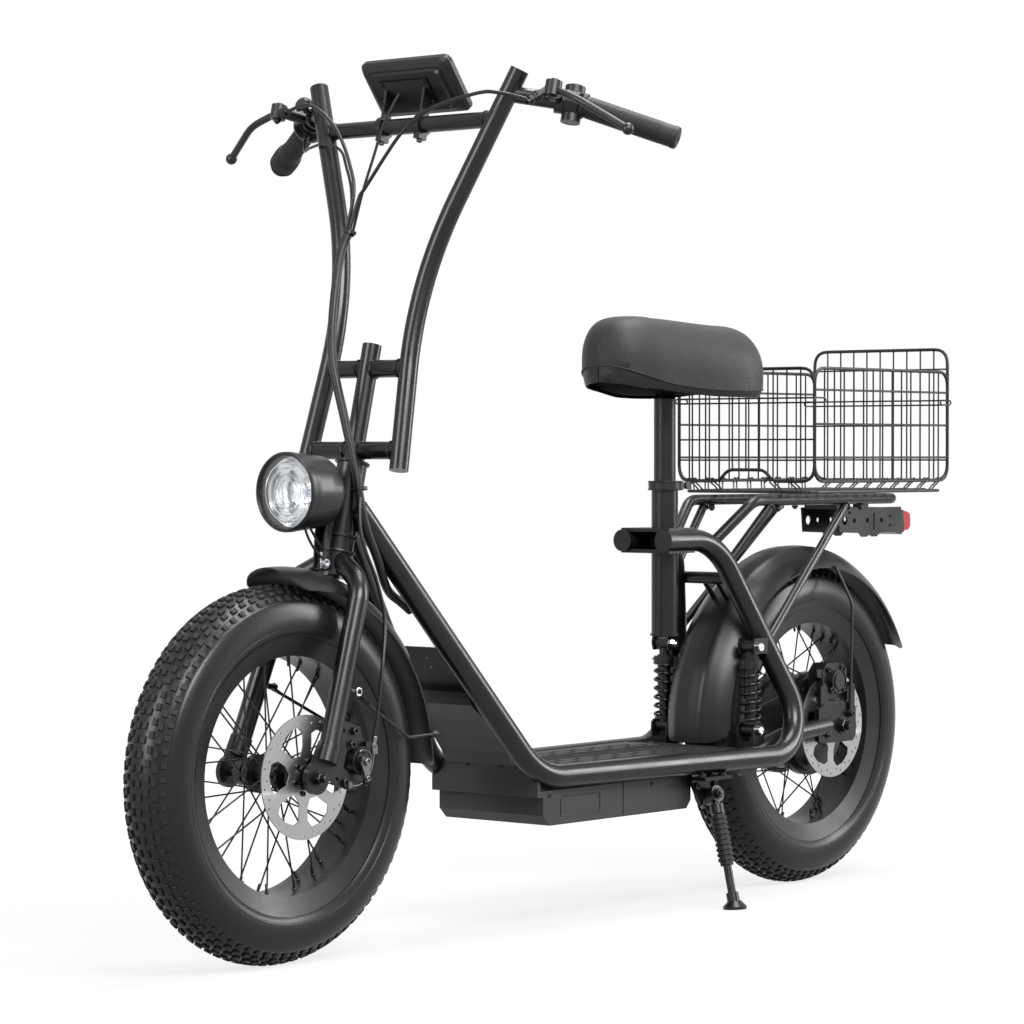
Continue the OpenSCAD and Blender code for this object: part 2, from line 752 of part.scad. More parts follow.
module tail_light_bracket() {
  color(black) on_rear() {
    difference() {
      both_sides() plate_y([[-646, 574], [-820, 574], [-824, 538], [-808, 534], [-762, 534], [-752, 528],
        [-740, 528], [-732, 531], [-724, 528], [-712, 528], [-704, 534], [-650, 536]], 33, 2.5);
      for (x = [-664, -690, -726, -765]) translate([x, -50, 554]) rotate([-90, 0, 0])
        cylinder(h = 100, r = x == -664 ? 7 : 4);
    }
    translate([-770, -35, 571.5]) cube([120, 70, 2.5]);
    translate([-670, -30, 573]) cube([22, 60, 9]);
    translate([-766, -10, 573]) cube([14, 20, 7.9]);
  }
}

module tail_light_body() {
  color(plastic) on_rear() plate_y([[-803, 570], [-830, 569], [-834, 536], [-824, 530],
    [-803, 534]], -32.9, 65.8);
}

module tail_light_lens() {
  color([0.8, 0.05, 0.05]) on_rear() plate_y([[-830.4, 568], [-843, 566], [-851, 562], [-852, 544],
    [-846, 537], [-834.2, 536.5]], -32, 64);
}

module side_stand() {
  color(black) on_frame() {
    rod(stand_top - fold * 8, stand_top + fold * 7, 12);
    rod(along(0), along(0.96), 6);
    rod(along(0.09), along(0.17), 10);
    rod(along(0.86), along(0.97), 9);
    translate(stand_foot) rotate([lean, 0, 0]) {
      cylinder(h = 4, r = 17);
      translate([0, 0, 4]) cylinder(h = 8, r1 = 17, r2 = 9);
    }
  }
}

sleeve_pts = [[382, -42, 955], [398, -45, 919], [424, -34, 841], [442, -17, 777], [446, 8, 700],
  [446, 26, 640], [446, 34, 600], [438, 38, 560], [414, 36, 519], [384, 22, 486], [362, 13, 471],
  [342, 13, 459.5], [325, 15, 447.5]];
front_brake_pts = [[452.2, 40.3, 600], [458, 44.5, 580], [460.5, 48.5, 558], [456, 54, 530], [441, 60, 490],
  [434, 67, 440], [451, 78, 380], [462, 79, 314]];
bar_cables = [
  [2.5, [[335.2, 227.2, 1115], [340, 216, 1119], [352, 192, 1125], [361, 167, 1126], [373, 104, 1112],
    [375, 66, 1095], [378, 37, 1071], [380, -14, 1013], [380, -28, 997], [385.3, -38.9, 957.6]]],
  [2.5, [[334.1, -206, 1125.2], [340, -166, 1133], [346, -133, 1124], [353, -99, 1101], [360, -76, 1076],
    [368, -56, 1046], [376, -40, 1008], [384.1, -45.4, 957.9]]],
  [2, [[330, -1, 1138], [351, -9, 1097], [362, -18, 1052], [371, -29, 1006], [379.55, -38.55, 954.3]]],
  [2, [[264, -236, 1093], [290, -212, 1076], [321, -172, 1076], [340.5, -124, 1078], [347, -91, 1066],
    [356, -73, 1044], [366, -54, 1008], [377.6, -45.4, 954.9]]]];

module cable_sleeve() {
  color(rubber) on_front() swept(eased(sleeve_pts, 14), 6, 8, [1, 0, 0]);
}

module on_front() {
  on_frame() translate([ax - 576, 0, tyre_r - 245]) children();
}

module on_rear() {
  on_frame() translate([576 - ax, 0, tyre_r - 245]) children();
}

module loops(extra = 0) {
  both_sides() bent_tube(loop_pts, loop_bends, loop_r + extra);
}

module stub(extra = 0.05) {
  bent_tube(stub_pts, [0, 60, 0], 11 + extra);
}

module plate_y(points, y, t) {
  translate([0, y + t, 0]) rotate([90, 0, 0]) linear_extrude(t) polygon(points);
}

function blend4(a, b, c, d, t) = 0.5 * (2 * b + (c - a) * t + (2 * a - 5 * b + 4 * c - d) * t * t
  + (3 * b - a - 3 * c + d) * t * t * t);

function eased(p, step) = concat([for (i = [0:len(p) - 2])
  let(n = max(1, round(norm(p[i + 1] - p[i]) / step)))
  for (k = [0:n - 1]) blend4(p[max(i - 1, 0)], p[i], p[i + 1], p[min(i + 2, len(p) - 1)], k / n)],
  [p[len(p) - 1]]);

function round_rect(a, b, r) = [for (i = [0:3]) for (k = [0:4])
  let(s = [1, -1, -1, 1][i], t = [1, 1, -1, -1][i], g = i * 90 + k * 22.5)
  [s * (a - r) + r * cos(g), t * (b - r) + r * sin(g)]];

function flat_ring(a, b, r, z) = [for (q = round_rect(a, b, r)) [q.x, q.y, z]];

adjusters = [[27, 230, 1141], [29, 207, 1152]];

module headlight_bracket() {
  color(black) on_steering() difference() {
    union() {
      for (y = [-9.5, 7]) plate_y([[26, 516], [31, 516], [39, 562], [39, 570], [31.5, 584], [31.5, 600],
        [34, 628], [26, 628]], y, 2.5);
      translate([26, -9.5, 516]) cube([3, 19, 112]);
      translate([18, -9, 516]) cube([10, 18, 24]);
    }
    cylinder_between(500, 560, 21);
    for (w = [558, 590]) translate([20, 0, w]) rotate([0, 90, 0]) cylinder(h = 20, r = 2.5);
  }
  color(black) on_front() translate([461.5, 0, 608]) rotate([0, 90, 0]) cylinder(h = 8.5, r = 9);
}

module shock_mount(z0, z1) {
  for (y = [65, 92]) plate_y([[-366, z0], [-346, z0], [-343, (z0 + z1) / 2], [-346, z1], [-386, z1],
    [-386, z0]], y, 3);
  translate([-388, 68, z0]) cube([9, 24, z1 - z0]);
}

function along(t) = stand_top + t * (stand_foot - stand_top);

module stand_sleeve() {
  color(rubber) on_frame() difference() {
    union() {
      rod(along(0.18), along(0.62), 9.5);
      for (k = [0:8]) rod(along(0.2 + k * 0.045), along(0.222 + k * 0.045), 11.5);
    }
    rod(along(0.1), along(0.7), 6);
  }
}

module brake_cables() {
  color(rubber) on_front() {
    for (c = bar_cables) swept(eased(c[1], 12), c[0], 8, [1, 0, 0.3]);
    swept(eased(front_brake_pts, 12), 2.5, 8, [1, 0, 0]);
  }
}

front_tyre();
front_rim();
front_spokes();
front_hub();
front_disc();
front_axle();
rear_tyre();
rear_rim();
rear_spokes();
hub_motor();
rear_disc();
rear_axle();
fork();
front_fender();
front_fender_stay();
front_caliper();
handlebar();
grips();
brake_levers();
switch_pod();
throttle();
bell();
display_bracket();
display();
headlight_body();
headlight_reflector();
headlight_lens();
headlight_bracket();
main_frame();
front_cover();
battery_box();
deck_plate();
deck_mat();
stand_bracket();
seat_clamp();
seat_post();
saddle_base();
saddle_cushion();
swingarm();
shocks();
shock_springs();
rear_caliper();
rear_fender();
rear_fender_stay();
rack();
basket();
tail_light_bracket();
tail_light_body();
tail_light_lens();
side_stand();
stand_sleeve();
cable_sleeve();
brake_cables();
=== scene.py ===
# %% [markdown]
# An electric scooter with fat tyres, dressed on top of a CAD frame. The frame comes first, because every
# piece that is added rides on one of its bodies. The scene is in metres. Most numbers below are millimetres
# on the upright scooter, and a matrix takes them into the scene, so a piece keeps its place in its own
# vertices.

# %% Start
import math

import bmesh
import bpy
from mathutils import Matrix, Vector


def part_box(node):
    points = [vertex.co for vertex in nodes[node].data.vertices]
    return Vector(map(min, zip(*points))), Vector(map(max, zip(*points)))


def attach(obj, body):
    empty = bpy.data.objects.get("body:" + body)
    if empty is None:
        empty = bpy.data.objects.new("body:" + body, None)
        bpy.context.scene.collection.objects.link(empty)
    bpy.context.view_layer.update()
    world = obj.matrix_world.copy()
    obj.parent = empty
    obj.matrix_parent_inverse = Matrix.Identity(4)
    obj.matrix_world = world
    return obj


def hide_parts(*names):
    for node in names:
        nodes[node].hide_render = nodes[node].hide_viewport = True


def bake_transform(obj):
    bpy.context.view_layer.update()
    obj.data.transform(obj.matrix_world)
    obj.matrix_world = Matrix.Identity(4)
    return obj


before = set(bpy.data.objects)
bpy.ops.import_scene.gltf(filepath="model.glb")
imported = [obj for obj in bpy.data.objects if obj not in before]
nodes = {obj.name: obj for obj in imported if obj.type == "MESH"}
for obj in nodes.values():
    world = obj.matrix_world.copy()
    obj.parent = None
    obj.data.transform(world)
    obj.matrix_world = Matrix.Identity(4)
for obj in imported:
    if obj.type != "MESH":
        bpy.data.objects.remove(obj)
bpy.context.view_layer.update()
print("CAD nodes:", len(nodes))

# %% [markdown]
# The scooter leans three degrees on its side stand, but it is easier to think about it standing upright.
# These matrices turn upright millimetres into the leaning frame: one for the frame, one for the steering,
# whose third axis runs up the head tube, and one for a wheel, whose third axis is the axle. Where the
# scooter stands is read from the box round its front tyre.

# %% Frames of reference
LEAN, RAKE = math.radians(3), math.radians(14)
AXLE_X, TYRE_R, CROWN_R, FORK_OFFSET = 576, 245, 80, 51.5
tyre_low, tyre_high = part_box("front_tyre")
SHIFT_X = (tyre_low[0] + tyre_high[0]) * 500 - AXLE_X
SHIFT_Y = (tyre_low[1] + tyre_high[1]) * 500 - TYRE_R * math.sin(LEAN)
LIFT = CROWN_R * (1 - math.cos(LEAN))
MM = Matrix.Scale(0.001, 4)
UPRIGHT = MM @ Matrix.Translation((SHIFT_X, SHIFT_Y, LIFT)) @ Matrix.Rotation(-LEAN, 4, "X")
HEAD_X = AXLE_X + (TYRE_R * math.sin(RAKE) - FORK_OFFSET) / math.cos(RAKE)
STEERING = UPRIGHT @ Matrix.Translation((HEAD_X, 0, 0)) @ Matrix.Rotation(-RAKE, 4, "Y")


def wheel_matrix(x):
    return UPRIGHT @ Matrix.Translation((x, 0, TYRE_R)) @ Matrix.Rotation(-math.pi / 2, 4, "X")


FRONT, REAR = wheel_matrix(AXLE_X), wheel_matrix(-AXLE_X)
print("shift of the frame, mm:", round(SHIFT_X, 2), round(SHIFT_Y, 2))

# %% [markdown]
# The camera is a long lens, level with the tops of the wheels and far to the front left. Its place was
# solved from the tyres and the discs, whose sizes are known. It turns with the lean, so that the scooter
# looks as upright as it does in a product picture.

# %% Camera
FOCAL_PX, PICTURE_PX, SENSOR_MM = 3484.2, 1024, 36
CAMERA_SPOT, CAMERA_LOOK = (3803, 3111, 656), (-0.7659, -0.6428, -0.0164)
camera_data = bpy.data.cameras.new("camera")
camera = bpy.data.objects.new("camera", camera_data)
bpy.context.scene.collection.objects.link(camera)
bpy.context.scene.camera = camera
camera_data.sensor_width = SENSOR_MM
camera_data.lens = FOCAL_PX / PICTURE_PX * SENSOR_MM
camera_data.clip_end = 50
look = Vector(CAMERA_LOOK).normalized()
right = look.cross(Vector((0, 0, 1))).normalized()
up = right.cross(look)
turn = Matrix((right, up, -look)).transposed().to_4x4()
place = UPRIGHT @ Matrix.Translation(CAMERA_SPOT) @ turn
camera.location = place.to_translation()
camera.rotation_euler = place.to_euler()
print("lens, mm:", round(camera_data.lens, 2), "camera at", [round(v, 3) for v in camera.location])

# %% [markdown]
# Colours are typed as they look on a screen, so one function turns them into the linear values that the
# renderer mixes. A second small function adds a node and sets its inputs, which keeps each material to a
# few lines.

# %% Material helpers


def colour(text):
    parts = [int(text[i:i + 2], 16) / 255 for i in (1, 3, 5)]
    return tuple(p / 12.92 if p <= 0.04045 else ((p + 0.055) / 1.055) ** 2.4 for p in parts) + (1.0,)


def add(tree, kind, inputs=None, **settings):
    node = tree.nodes.new(kind)
    for key, value in settings.items():
        setattr(node, key, value)
    for key, value in (inputs or {}).items():
        if hasattr(value, "is_output"):
            tree.links.new(value, node.inputs[key])
        else:
            node.inputs[key].default_value = value
    return node


def new_material(name):
    material = bpy.data.materials.new(name)
    material.use_nodes = True
    tree = material.node_tree
    tree.nodes.clear()
    return material, tree


def finish_material(tree, **inputs):
    shader = add(tree, "ShaderNodeBsdfPrincipled", {k.replace("_", " "): v for k, v in inputs.items()})
    add(tree, "ShaderNodeOutputMaterial", {"Surface": shader.outputs[0]})
    return shader


def grain(tree, per_mm, detail=2.0, stretch=(1, 1, 1)):
    """Noise with per_mm features to a millimetre, in the object's own space."""
    coords = add(tree, "ShaderNodeTexCoord")
    scaled = add(tree, "ShaderNodeMapping", {"Vector": coords.outputs["Object"], "Scale": stretch})
    return add(tree, "ShaderNodeTexNoise",
               {"Vector": scaled.outputs[0], "Scale": per_mm * 1000, "Detail": detail, "Roughness": 0.6})


def ramp(tree, fac, low, high, out_low, out_high):
    node = add(tree, "ShaderNodeMapRange", {"Value": fac, "From Min": low, "From Max": high,
                                            "To Min": out_low, "To Max": out_high})
    return node.outputs[0]


def uneven(tree, noise, rough, less, more):
    """A roughness that drifts with the noise, from rough - less to rough + more."""
    return ramp(tree, noise.outputs[0], 0.3, 0.7, rough - less, rough + more)


def bump(tree, height, mm, strength=1.0):
    node = add(tree, "ShaderNodeBump", {"Height": height, "Distance": mm * 0.001, "Strength": strength})
    return node.outputs[0]


MIX_A, MIX_B, MIX_RESULT = 6, 7, 2


def mixed(tree, fac, a, b):
    """Two colours mixed by fac. The node keeps its colours in sockets of their own."""
    node = add(tree, "ShaderNodeMix", data_type="RGBA")
    tree.links.new(fac, node.inputs[0])
    node.inputs[MIX_A].default_value = a
    node.inputs[MIX_B].default_value = b
    return node.outputs[MIX_RESULT]


print("mid grey as a linear value:", round(colour("#808080")[0], 3))

# %% [markdown]
# The frame is steel tube under black powder coat. Powder melts into a skin with a slight orange peel about
# a millimetre across, satin rather than gloss, and its tone drifts a little in wide soft clouds.

# %% Powder coat and paint


def coated(name, dark, pale, rough, peel):
    material, tree = new_material(name)
    cloud = grain(tree, 0.012, 3.0)
    fine = grain(tree, 0.9, 2.0)
    shade = mixed(tree, ramp(tree, cloud.outputs[0], 0.35, 0.65, 0, 1), colour(dark), colour(pale))
    finish_material(tree, Base_Color=shade, Roughness=uneven(tree, cloud, rough, 0.05, 0.06),
                    Normal=bump(tree, fine.outputs[0], peel, 0.1), Specular_IOR_Level=0.28)
    return material


POWDER = coated("black_powder_coat", "#0c0c0d", "#121213", 0.27, 0.004)
SATIN = coated("satin_black_paint", "#0b0b0c", "#111112", 0.36, 0.01)
WIRE = coated("coated_wire", "#0b0b0c", "#111112", 0.42, 0.03)
print("coats:", POWDER.name, SATIN.name, WIRE.name)

# %% [markdown]
# Metals differ by how they were worked. A disc is ground in circles, so fine rings run round it. Zinc plate
# is soft and cloudy, chrome on the shock bolts is smooth and bright, and black oxide keeps most screws and
# nuts dark. The lamp's reflector is plastic under a thin bright film of metal.

# %% Metals


def ground_disc(name, centre):
    material, tree = new_material(name)
    coords = add(tree, "ShaderNodeTexCoord")
    moved = add(tree, "ShaderNodeVectorMath", {0: coords.outputs["Object"], 1: centre}, operation="SUBTRACT")
    radius = add(tree, "ShaderNodeVectorMath", {0: moved.outputs[0]}, operation="LENGTH")
    lines = add(tree, "ShaderNodeTexNoise", {"W": radius.outputs["Value"], "Scale": 2600.0, "Detail": 3.0},
                noise_dimensions="1D")
    shade = mixed(tree, lines.outputs[0], colour("#8f8f90"), colour("#b0b0b1"))
    finish_material(tree, Base_Color=shade, Metallic=1.0, Anisotropic=0.6,
                    Roughness=ramp(tree, lines.outputs[0], 0.3, 0.7, 0.26, 0.42),
                    Normal=bump(tree, lines.outputs[0], 0.02, 0.4))
    return material


def metal(name, dark, pale, rough, per_mm=0.4):
    material, tree = new_material(name)
    cloud = grain(tree, per_mm, 3.0)
    shade = mixed(tree, cloud.outputs[0], colour(dark), colour(pale))
    finish_material(tree, Base_Color=shade, Metallic=1.0, Roughness=uneven(tree, cloud, rough, 0.05, 0.08))
    return material


FRONT_DISC = ground_disc("ground_stainless_front", FRONT @ Vector((0, 0, 57)))
REAR_DISC = ground_disc("ground_stainless_rear", REAR @ Vector((0, 0, 71)))
ZINC = metal("zinc_plate", "#8e8f92", "#b4b5b8", 0.34)
REFLECTOR = metal("vacuum_metallised_plastic", "#f4f4f6", "#ffffff", 0.18, 0.05)
CHROME = metal("bright_chrome", "#d8d8da", "#ececee", 0.08, 0.05)
GREY_ZINC = metal("dull_zinc_plate", "#4c4c4e", "#78787a", 0.36)
BLACK_OXIDE = metal("black_oxide_steel", "#2a2a2b", "#38383a", 0.38)
print("bright and dark metals:", ZINC.name, REFLECTOR.name, CHROME.name, GREY_ZINC.name, BLACK_OXIDE.name)

# %% [markdown]
# The tyre is rubber filled with carbon black. The tread is dull, and the side wall is smoother and catches
# a broad soft light, so each gets its own roughness. Moulded plastic has a fine even texture from the tool
# that shaped it.

# %% Rubber and plastics


def rubber(name, dark, pale, rough, per_mm=0.25, rise=0.06, shine=0.22):
    material, tree = new_material(name)
    cloud = grain(tree, 0.02, 3.0)
    fine = grain(tree, per_mm, 4.0)
    shade = mixed(tree, cloud.outputs[0], colour(dark), colour(pale))
    finish_material(tree, Base_Color=shade, Roughness=uneven(tree, fine, rough, 0.06, 0.06),
                    Normal=bump(tree, fine.outputs[0], rise, 0.5), Specular_IOR_Level=shine)
    return material


def moulded(name, dark, pale, rough, rise=0.04, coat=0.0):
    material, tree = new_material(name)
    cloud = grain(tree, 0.008, 2.0)
    coords = add(tree, "ShaderNodeTexCoord")
    texture = add(tree, "ShaderNodeTexVoronoi", {"Vector": coords.outputs["Object"], "Scale": 1400.0})
    shade = mixed(tree, cloud.outputs[0], colour(dark), colour(pale))
    finish_material(tree, Base_Color=shade, Roughness=uneven(tree, cloud, rough, 0.04, 0.05),
                    Normal=bump(tree, texture.outputs["Distance"], rise, 0.3), Coat_Weight=coat,
                    Coat_Roughness=0.12, Specular_IOR_Level=0.24)
    return material


TREAD = rubber("tread_rubber", "#0f0f0f", "#161616", 0.60)
SIDEWALL = rubber("sidewall_rubber", "#111111", "#161616", 0.31, 0.5, 0.01)
GRIP = rubber("grip_rubber", "#0f0f0f", "#151515", 0.55, 0.6, 0.08)
CABLE = rubber("cable_sheath", "#0e0e0e", "#151515", 0.42, 1.2, 0.02)
MAT = rubber("deck_mat_rubber", "#101011", "#171718", 0.52, 0.8, 0.06)
FENDER = moulded("moulded_fender_plastic", "#0f0f10", "#151516", 0.34)
BOX = moulded("textured_box_plastic", "#262627", "#2c2c2d", 0.46, 0.07)
CONTROL = moulded("control_plastic", "#0d0d0e", "#141415", 0.40)
HOUSING = moulded("satin_housing_plastic", "#0e0e0f", "#141415", 0.36, 0.02, 0.08)
print("materials so far:", len(bpy.data.materials))

# %% [markdown]
# Artificial leather is a sheet pressed with a pattern of small cells. Cells about two millimetres across
# give the creases, and a finer noise gives the pores inside them.

# %% Seat leather


def leather():
    material, tree = new_material("grained_leather")
    coords = add(tree, "ShaderNodeTexCoord")
    warp = grain(tree, 0.15, 2.0)
    pushed = add(tree, "ShaderNodeVectorMath",
                 {0: warp.outputs["Color"], 1: (0.0016, 0.0016, 0.0016), 2: coords.outputs["Object"]},
                 operation="MULTIPLY_ADD")
    cells = add(tree, "ShaderNodeTexVoronoi", {"Vector": pushed.outputs[0], "Scale": 520.0},
                feature="DISTANCE_TO_EDGE")
    crease = ramp(tree, cells.outputs["Distance"], 0.0, 0.22, 0.0, 1.0)
    pores = grain(tree, 2.2, 2.0)
    height = add(tree, "ShaderNodeMath", {0: pores.outputs[0], 1: 0.25, 2: crease}, operation="MULTIPLY_ADD")
    # The creases are painted darker than the tops of the cells: painted shade in the grooves.
    shade = mixed(tree, crease, colour("#101011"), colour("#1a1a1b"))
    finish_material(tree, Base_Color=shade, Roughness=ramp(tree, crease, 0, 1, 0.56, 0.42),
                    Normal=bump(tree, height.outputs[0], 0.18, 0.7), Specular_IOR_Level=0.26)
    return material


LEATHER = leather()
print("leather:", LEATHER.name)

# %% [markdown]
# Both lamps have a plastic lens. The headlight's is clear, so the reflector shows through it, and the tail
# light's is red and lets only part of the light in. A slight ripple keeps the surface from looking like a
# perfect mirror.

# %% Lenses


def lens(name, tint, rough, through):
    material, tree = new_material(name)
    ripple = grain(tree, 0.05, 1.0)
    finish_material(tree, Base_Color=colour(tint), Roughness=rough, IOR=1.46, Transmission_Weight=through,
                    Normal=bump(tree, ripple.outputs[0], 0.05, 0.3), Coat_Weight=0.5, Coat_Roughness=0.04)
    return material


CLEAR = lens("clear_polycarbonate", "#f4f6f8", 0.02, 1.0)
RED = lens("red_lens", "#c8102a", 0.12, 0.35)
print("lenses:", CLEAR.name, RED.name)

# %% [markdown]
# Each CAD node now takes the finish of its real material. The shapes stay as the CAD made them; only the
# slots of the objects change.

# %% Finishes of the CAD nodes
FINISH = {
    "front_rim": SATIN, "rear_rim": SATIN, "front_spokes": SATIN, "rear_spokes": SATIN, "front_hub": SATIN,
    "hub_motor": SATIN, "front_disc": FRONT_DISC, "rear_disc": REAR_DISC, "front_axle": BLACK_OXIDE,
    "rear_axle": BLACK_OXIDE, "fork": POWDER, "front_fender": FENDER, "front_fender_stay": BLACK_OXIDE,
    "front_caliper": SATIN, "handlebar": POWDER, "grips": GRIP, "brake_levers": SATIN,
    "switch_pod": CONTROL, "throttle": CONTROL, "bell": CONTROL, "display_bracket": BLACK_OXIDE,
    "display": CONTROL, "headlight_body": HOUSING, "headlight_reflector": REFLECTOR,
    "headlight_lens": CLEAR, "headlight_bracket": POWDER, "main_frame": POWDER, "front_cover": BOX,
    "battery_box": BOX, "deck_plate": POWDER, "deck_mat": MAT, "stand_bracket": POWDER, "seat_clamp": SATIN,
    "seat_post": POWDER, "saddle_base": CONTROL, "saddle_cushion": LEATHER, "swingarm": POWDER,
    "shocks": SATIN, "shock_springs": POWDER, "rear_caliper": SATIN, "rear_fender": FENDER,
    "rear_fender_stay": WIRE, "rack": POWDER, "basket": WIRE, "tail_light_bracket": POWDER,
    "tail_light_body": HOUSING, "tail_light_lens": RED, "side_stand": POWDER, "stand_sleeve": GRIP,
    "cable_sleeve": CABLE, "brake_cables": CABLE, "front_tyre": SIDEWALL, "rear_tyre": SIDEWALL}
for name, node in nodes.items():
    if not node.material_slots:
        node.data.materials.append(None)
    for material_slot in node.material_slots:
        material_slot.link = "OBJECT"
        material_slot.material = FINISH[name]
print("finished nodes:", len(nodes))

# %% [markdown]
# A few mesh builders do most of the work: a lathe for round things, a tube along a path for wires and
# cables, a skin over a row of rings, a box, a screw and a nut. All of them collect into one mesh, which is
# written through a matrix, so the object itself stays at the origin. A lathe profile uses a radius of 0.01
# for a point on the axis.

# %% Mesh builders
SHARP_ANGLE, SAME_PLACE = math.radians(35), 1e-6
OFF_AXIS = Vector((0.3, 0.5, 0.81))


def make(name, verts, faces, matrix, material, body, smooth=True, slot=None):
    mesh = bpy.data.meshes.new(name)
    mesh.from_pydata([tuple(matrix @ Vector(v)) for v in verts], [], faces)
    made = bpy.data.objects.new(name, mesh)
    bpy.context.scene.collection.objects.link(made)
    work = bmesh.new()
    work.from_mesh(mesh)
    bmesh.ops.remove_doubles(work, verts=work.verts, dist=SAME_PLACE)
    bmesh.ops.recalc_face_normals(work, faces=work.faces)
    work.to_mesh(mesh)
    work.free()
    if smooth:
        mesh.shade_smooth()
        mesh.set_sharp_from_angle(angle=SHARP_ANGLE)
    else:
        mesh.shade_flat()
    mesh.materials.append(material)
    if body:
        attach(made, body)
    return made


def circle_angles(n):
    return [2 * math.pi * k / n for k in range(n)]


class Mesh:
    """Collects verts and faces of many small solids, to become one object."""

    def __init__(self):
        self.verts, self.faces = [], []

    def put(self, verts, faces):
        start = len(self.verts)
        self.verts += [tuple(v) for v in verts]
        self.faces += [tuple(start + i for i in face) for face in faces]

    def lathe(self, profile, steps=32, at=None):
        matrix = at or Matrix.Identity(4)
        n = len(profile)
        verts = [matrix @ Vector((r * math.cos(a), r * math.sin(a), z))
                 for a in circle_angles(steps) for r, z in profile]
        self.put(verts, [(k * n + i, k * n + i + 1, (k + 1) % steps * n + i + 1, (k + 1) % steps * n + i)
                         for k in range(steps) for i in range(n - 1)])

    def tube(self, points, radius, sides=8, closed=False):
        points = [Vector(p) for p in points]
        n = len(points)
        rings = []
        normal = None
        for i in range(n):
            before = points[i - 1] if (i or closed) else points[i]
            after = points[(i + 1) % n] if (i < n - 1 or closed) else points[i]
            t = (after - before).normalized()
            if normal is None:
                normal = t.cross(OFF_AXIS).normalized()
            normal = (normal - t * normal.dot(t)).normalized()
            side = t.cross(normal)
            rings += [points[i] + radius * (math.cos(a) * normal + math.sin(a) * side)
                      for a in circle_angles(sides)]
        m = n if closed else n - 1
        faces = [(i * sides + k, i * sides + (k + 1) % sides, (i + 1) % n * sides + (k + 1) % sides,
                  (i + 1) % n * sides + k) for i in range(m) for k in range(sides)]
        if not closed:
            faces += [tuple(range(sides))[::-1], tuple((n - 1) * sides + k for k in range(sides))]
        self.put(rings, faces)

    def loft(self, rings):
        """A skin over rings of equal length, closed at both ends."""
        n, m = len(rings[0]), len(rings)
        faces = [(i * n + k, i * n + (k + 1) % n, (i + 1) * n + (k + 1) % n, (i + 1) * n + k)
                 for i in range(m - 1) for k in range(n)]
        faces += [tuple(range(n)), tuple((m - 1) * n + k for k in range(n))]
        self.put([v for ring in rings for v in ring], faces)

    def box(self, low, high, bevel=0.0, at=None):
        work = bmesh.new()
        size = Vector(high) - Vector(low)
        middle = (Vector(high) + Vector(low)) / 2
        bmesh.ops.create_cube(work, size=1, matrix=Matrix.Translation(middle) @ Matrix.Diagonal((*size, 1)))
        if bevel:
            bmesh.ops.bevel(work, geom=work.edges[:], offset=bevel, segments=1, affect="EDGES")
        work.verts.index_update()
        matrix = at or Matrix.Identity(4)
        self.put([matrix @ v.co for v in work.verts], [[v.index for v in f.verts] for f in work.faces])
        work.free()

    def done(self, name, matrix, material, body, **more):
        return make(name, self.verts, self.faces, matrix, material, body, **more)


def facing(point, direction):
    """A matrix at point whose third axis runs along direction."""
    return Matrix.Translation(Vector(point)) @ Vector(direction).to_track_quat("Z", "Y").to_matrix().to_4x4()


SOCKET_STEPS, HEXAGON_SIDE = 20, math.pi / 3


def screw(mesh, point, direction, r, h):
    """A cap screw: a chamfered head of radius r and height h, with a hexagonal socket sunk in it."""
    at = facing(point, direction)
    edge, rim = r * 0.12, r * 0.62
    mesh.lathe([(0.01, 0), (r, 0), (r, h - edge), (r - edge, h), (rim, h)], SOCKET_STEPS, at)
    top, low = [], []
    for a in circle_angles(SOCKET_STEPS):
        flat = r * 0.5 / max(math.cos((a % HEXAGON_SIDE) - HEXAGON_SIDE / 2), 0.5)
        top.append(at @ Vector((rim * math.cos(a), rim * math.sin(a), h)))
        low.append(at @ Vector((flat * math.cos(a), flat * math.sin(a), h - 0.1)))
    deep = [p - at.to_3x3() @ Vector((0, 0, h * 0.55)) for p in low]
    n = SOCKET_STEPS
    faces = [(b * n + k, b * n + (k + 1) % n, (b + 1) * n + (k + 1) % n, (b + 1) * n + k)
             for b in (0, 1) for k in range(n)]
    mesh.put(top + low + deep, faces + [tuple(2 * n + k for k in range(n))])


def nut(mesh, point, direction, r, h, stud, stud_length):
    """A hexagon nut on a washer, with the end of its stud."""
    at = facing(point, direction)
    end = h + stud_length
    mesh.lathe([(0.01, 0), (r * 1.25, 0), (r * 1.25, 1.4), (0.01, 1.4)], 24, at)
    mesh.lathe([(0.01, 1.4), (r, 1.4), (r, h - 1), (r - 1, h), (0.01, h)], 6, at)
    mesh.lathe([(0.01, h), (stud, h), (stud, end - 0.7), (stud - 0.7, end), (0.01, end)], 16, at)


def curve_point(a, b, c, d, t):
    """The point at t between b and c, on the smooth curve that also passes through a and d."""
    return 0.5 * (2 * b + (c - a) * t + (2 * a - 5 * b + 4 * c - d) * t * t
                  + (3 * b - a - 3 * c + d) * t * t * t)


def smooth_path(points, step):
    """Points along a smooth curve through a route, about step apart, as the CAD source does it."""
    p = [Vector(q) for q in points]
    out = []
    for i in range(len(p) - 1):
        a, b, c, d = p[max(i - 1, 0)], p[i], p[i + 1], p[min(i + 2, len(p) - 1)]
        n = max(1, round((c - b).length / step))
        out += [curve_point(a, b, c, d, k / n) for k in range(n)]
    return out + [p[-1]]


print("points on a straight route of 100 mm:", len(smooth_path([(0, 0, 0), (100, 0, 0)], 6)))

# %% [markdown]
# The cables come early, because they cross the steering joint. Four thin ones leave the controls and gather
# in one sleeve, which runs down past the head tube and ends behind the left down tube. The front brake's
# cable leaves the bundle at the crown. Each is a tube swept along the same route as in the CAD, with finer
# steps.

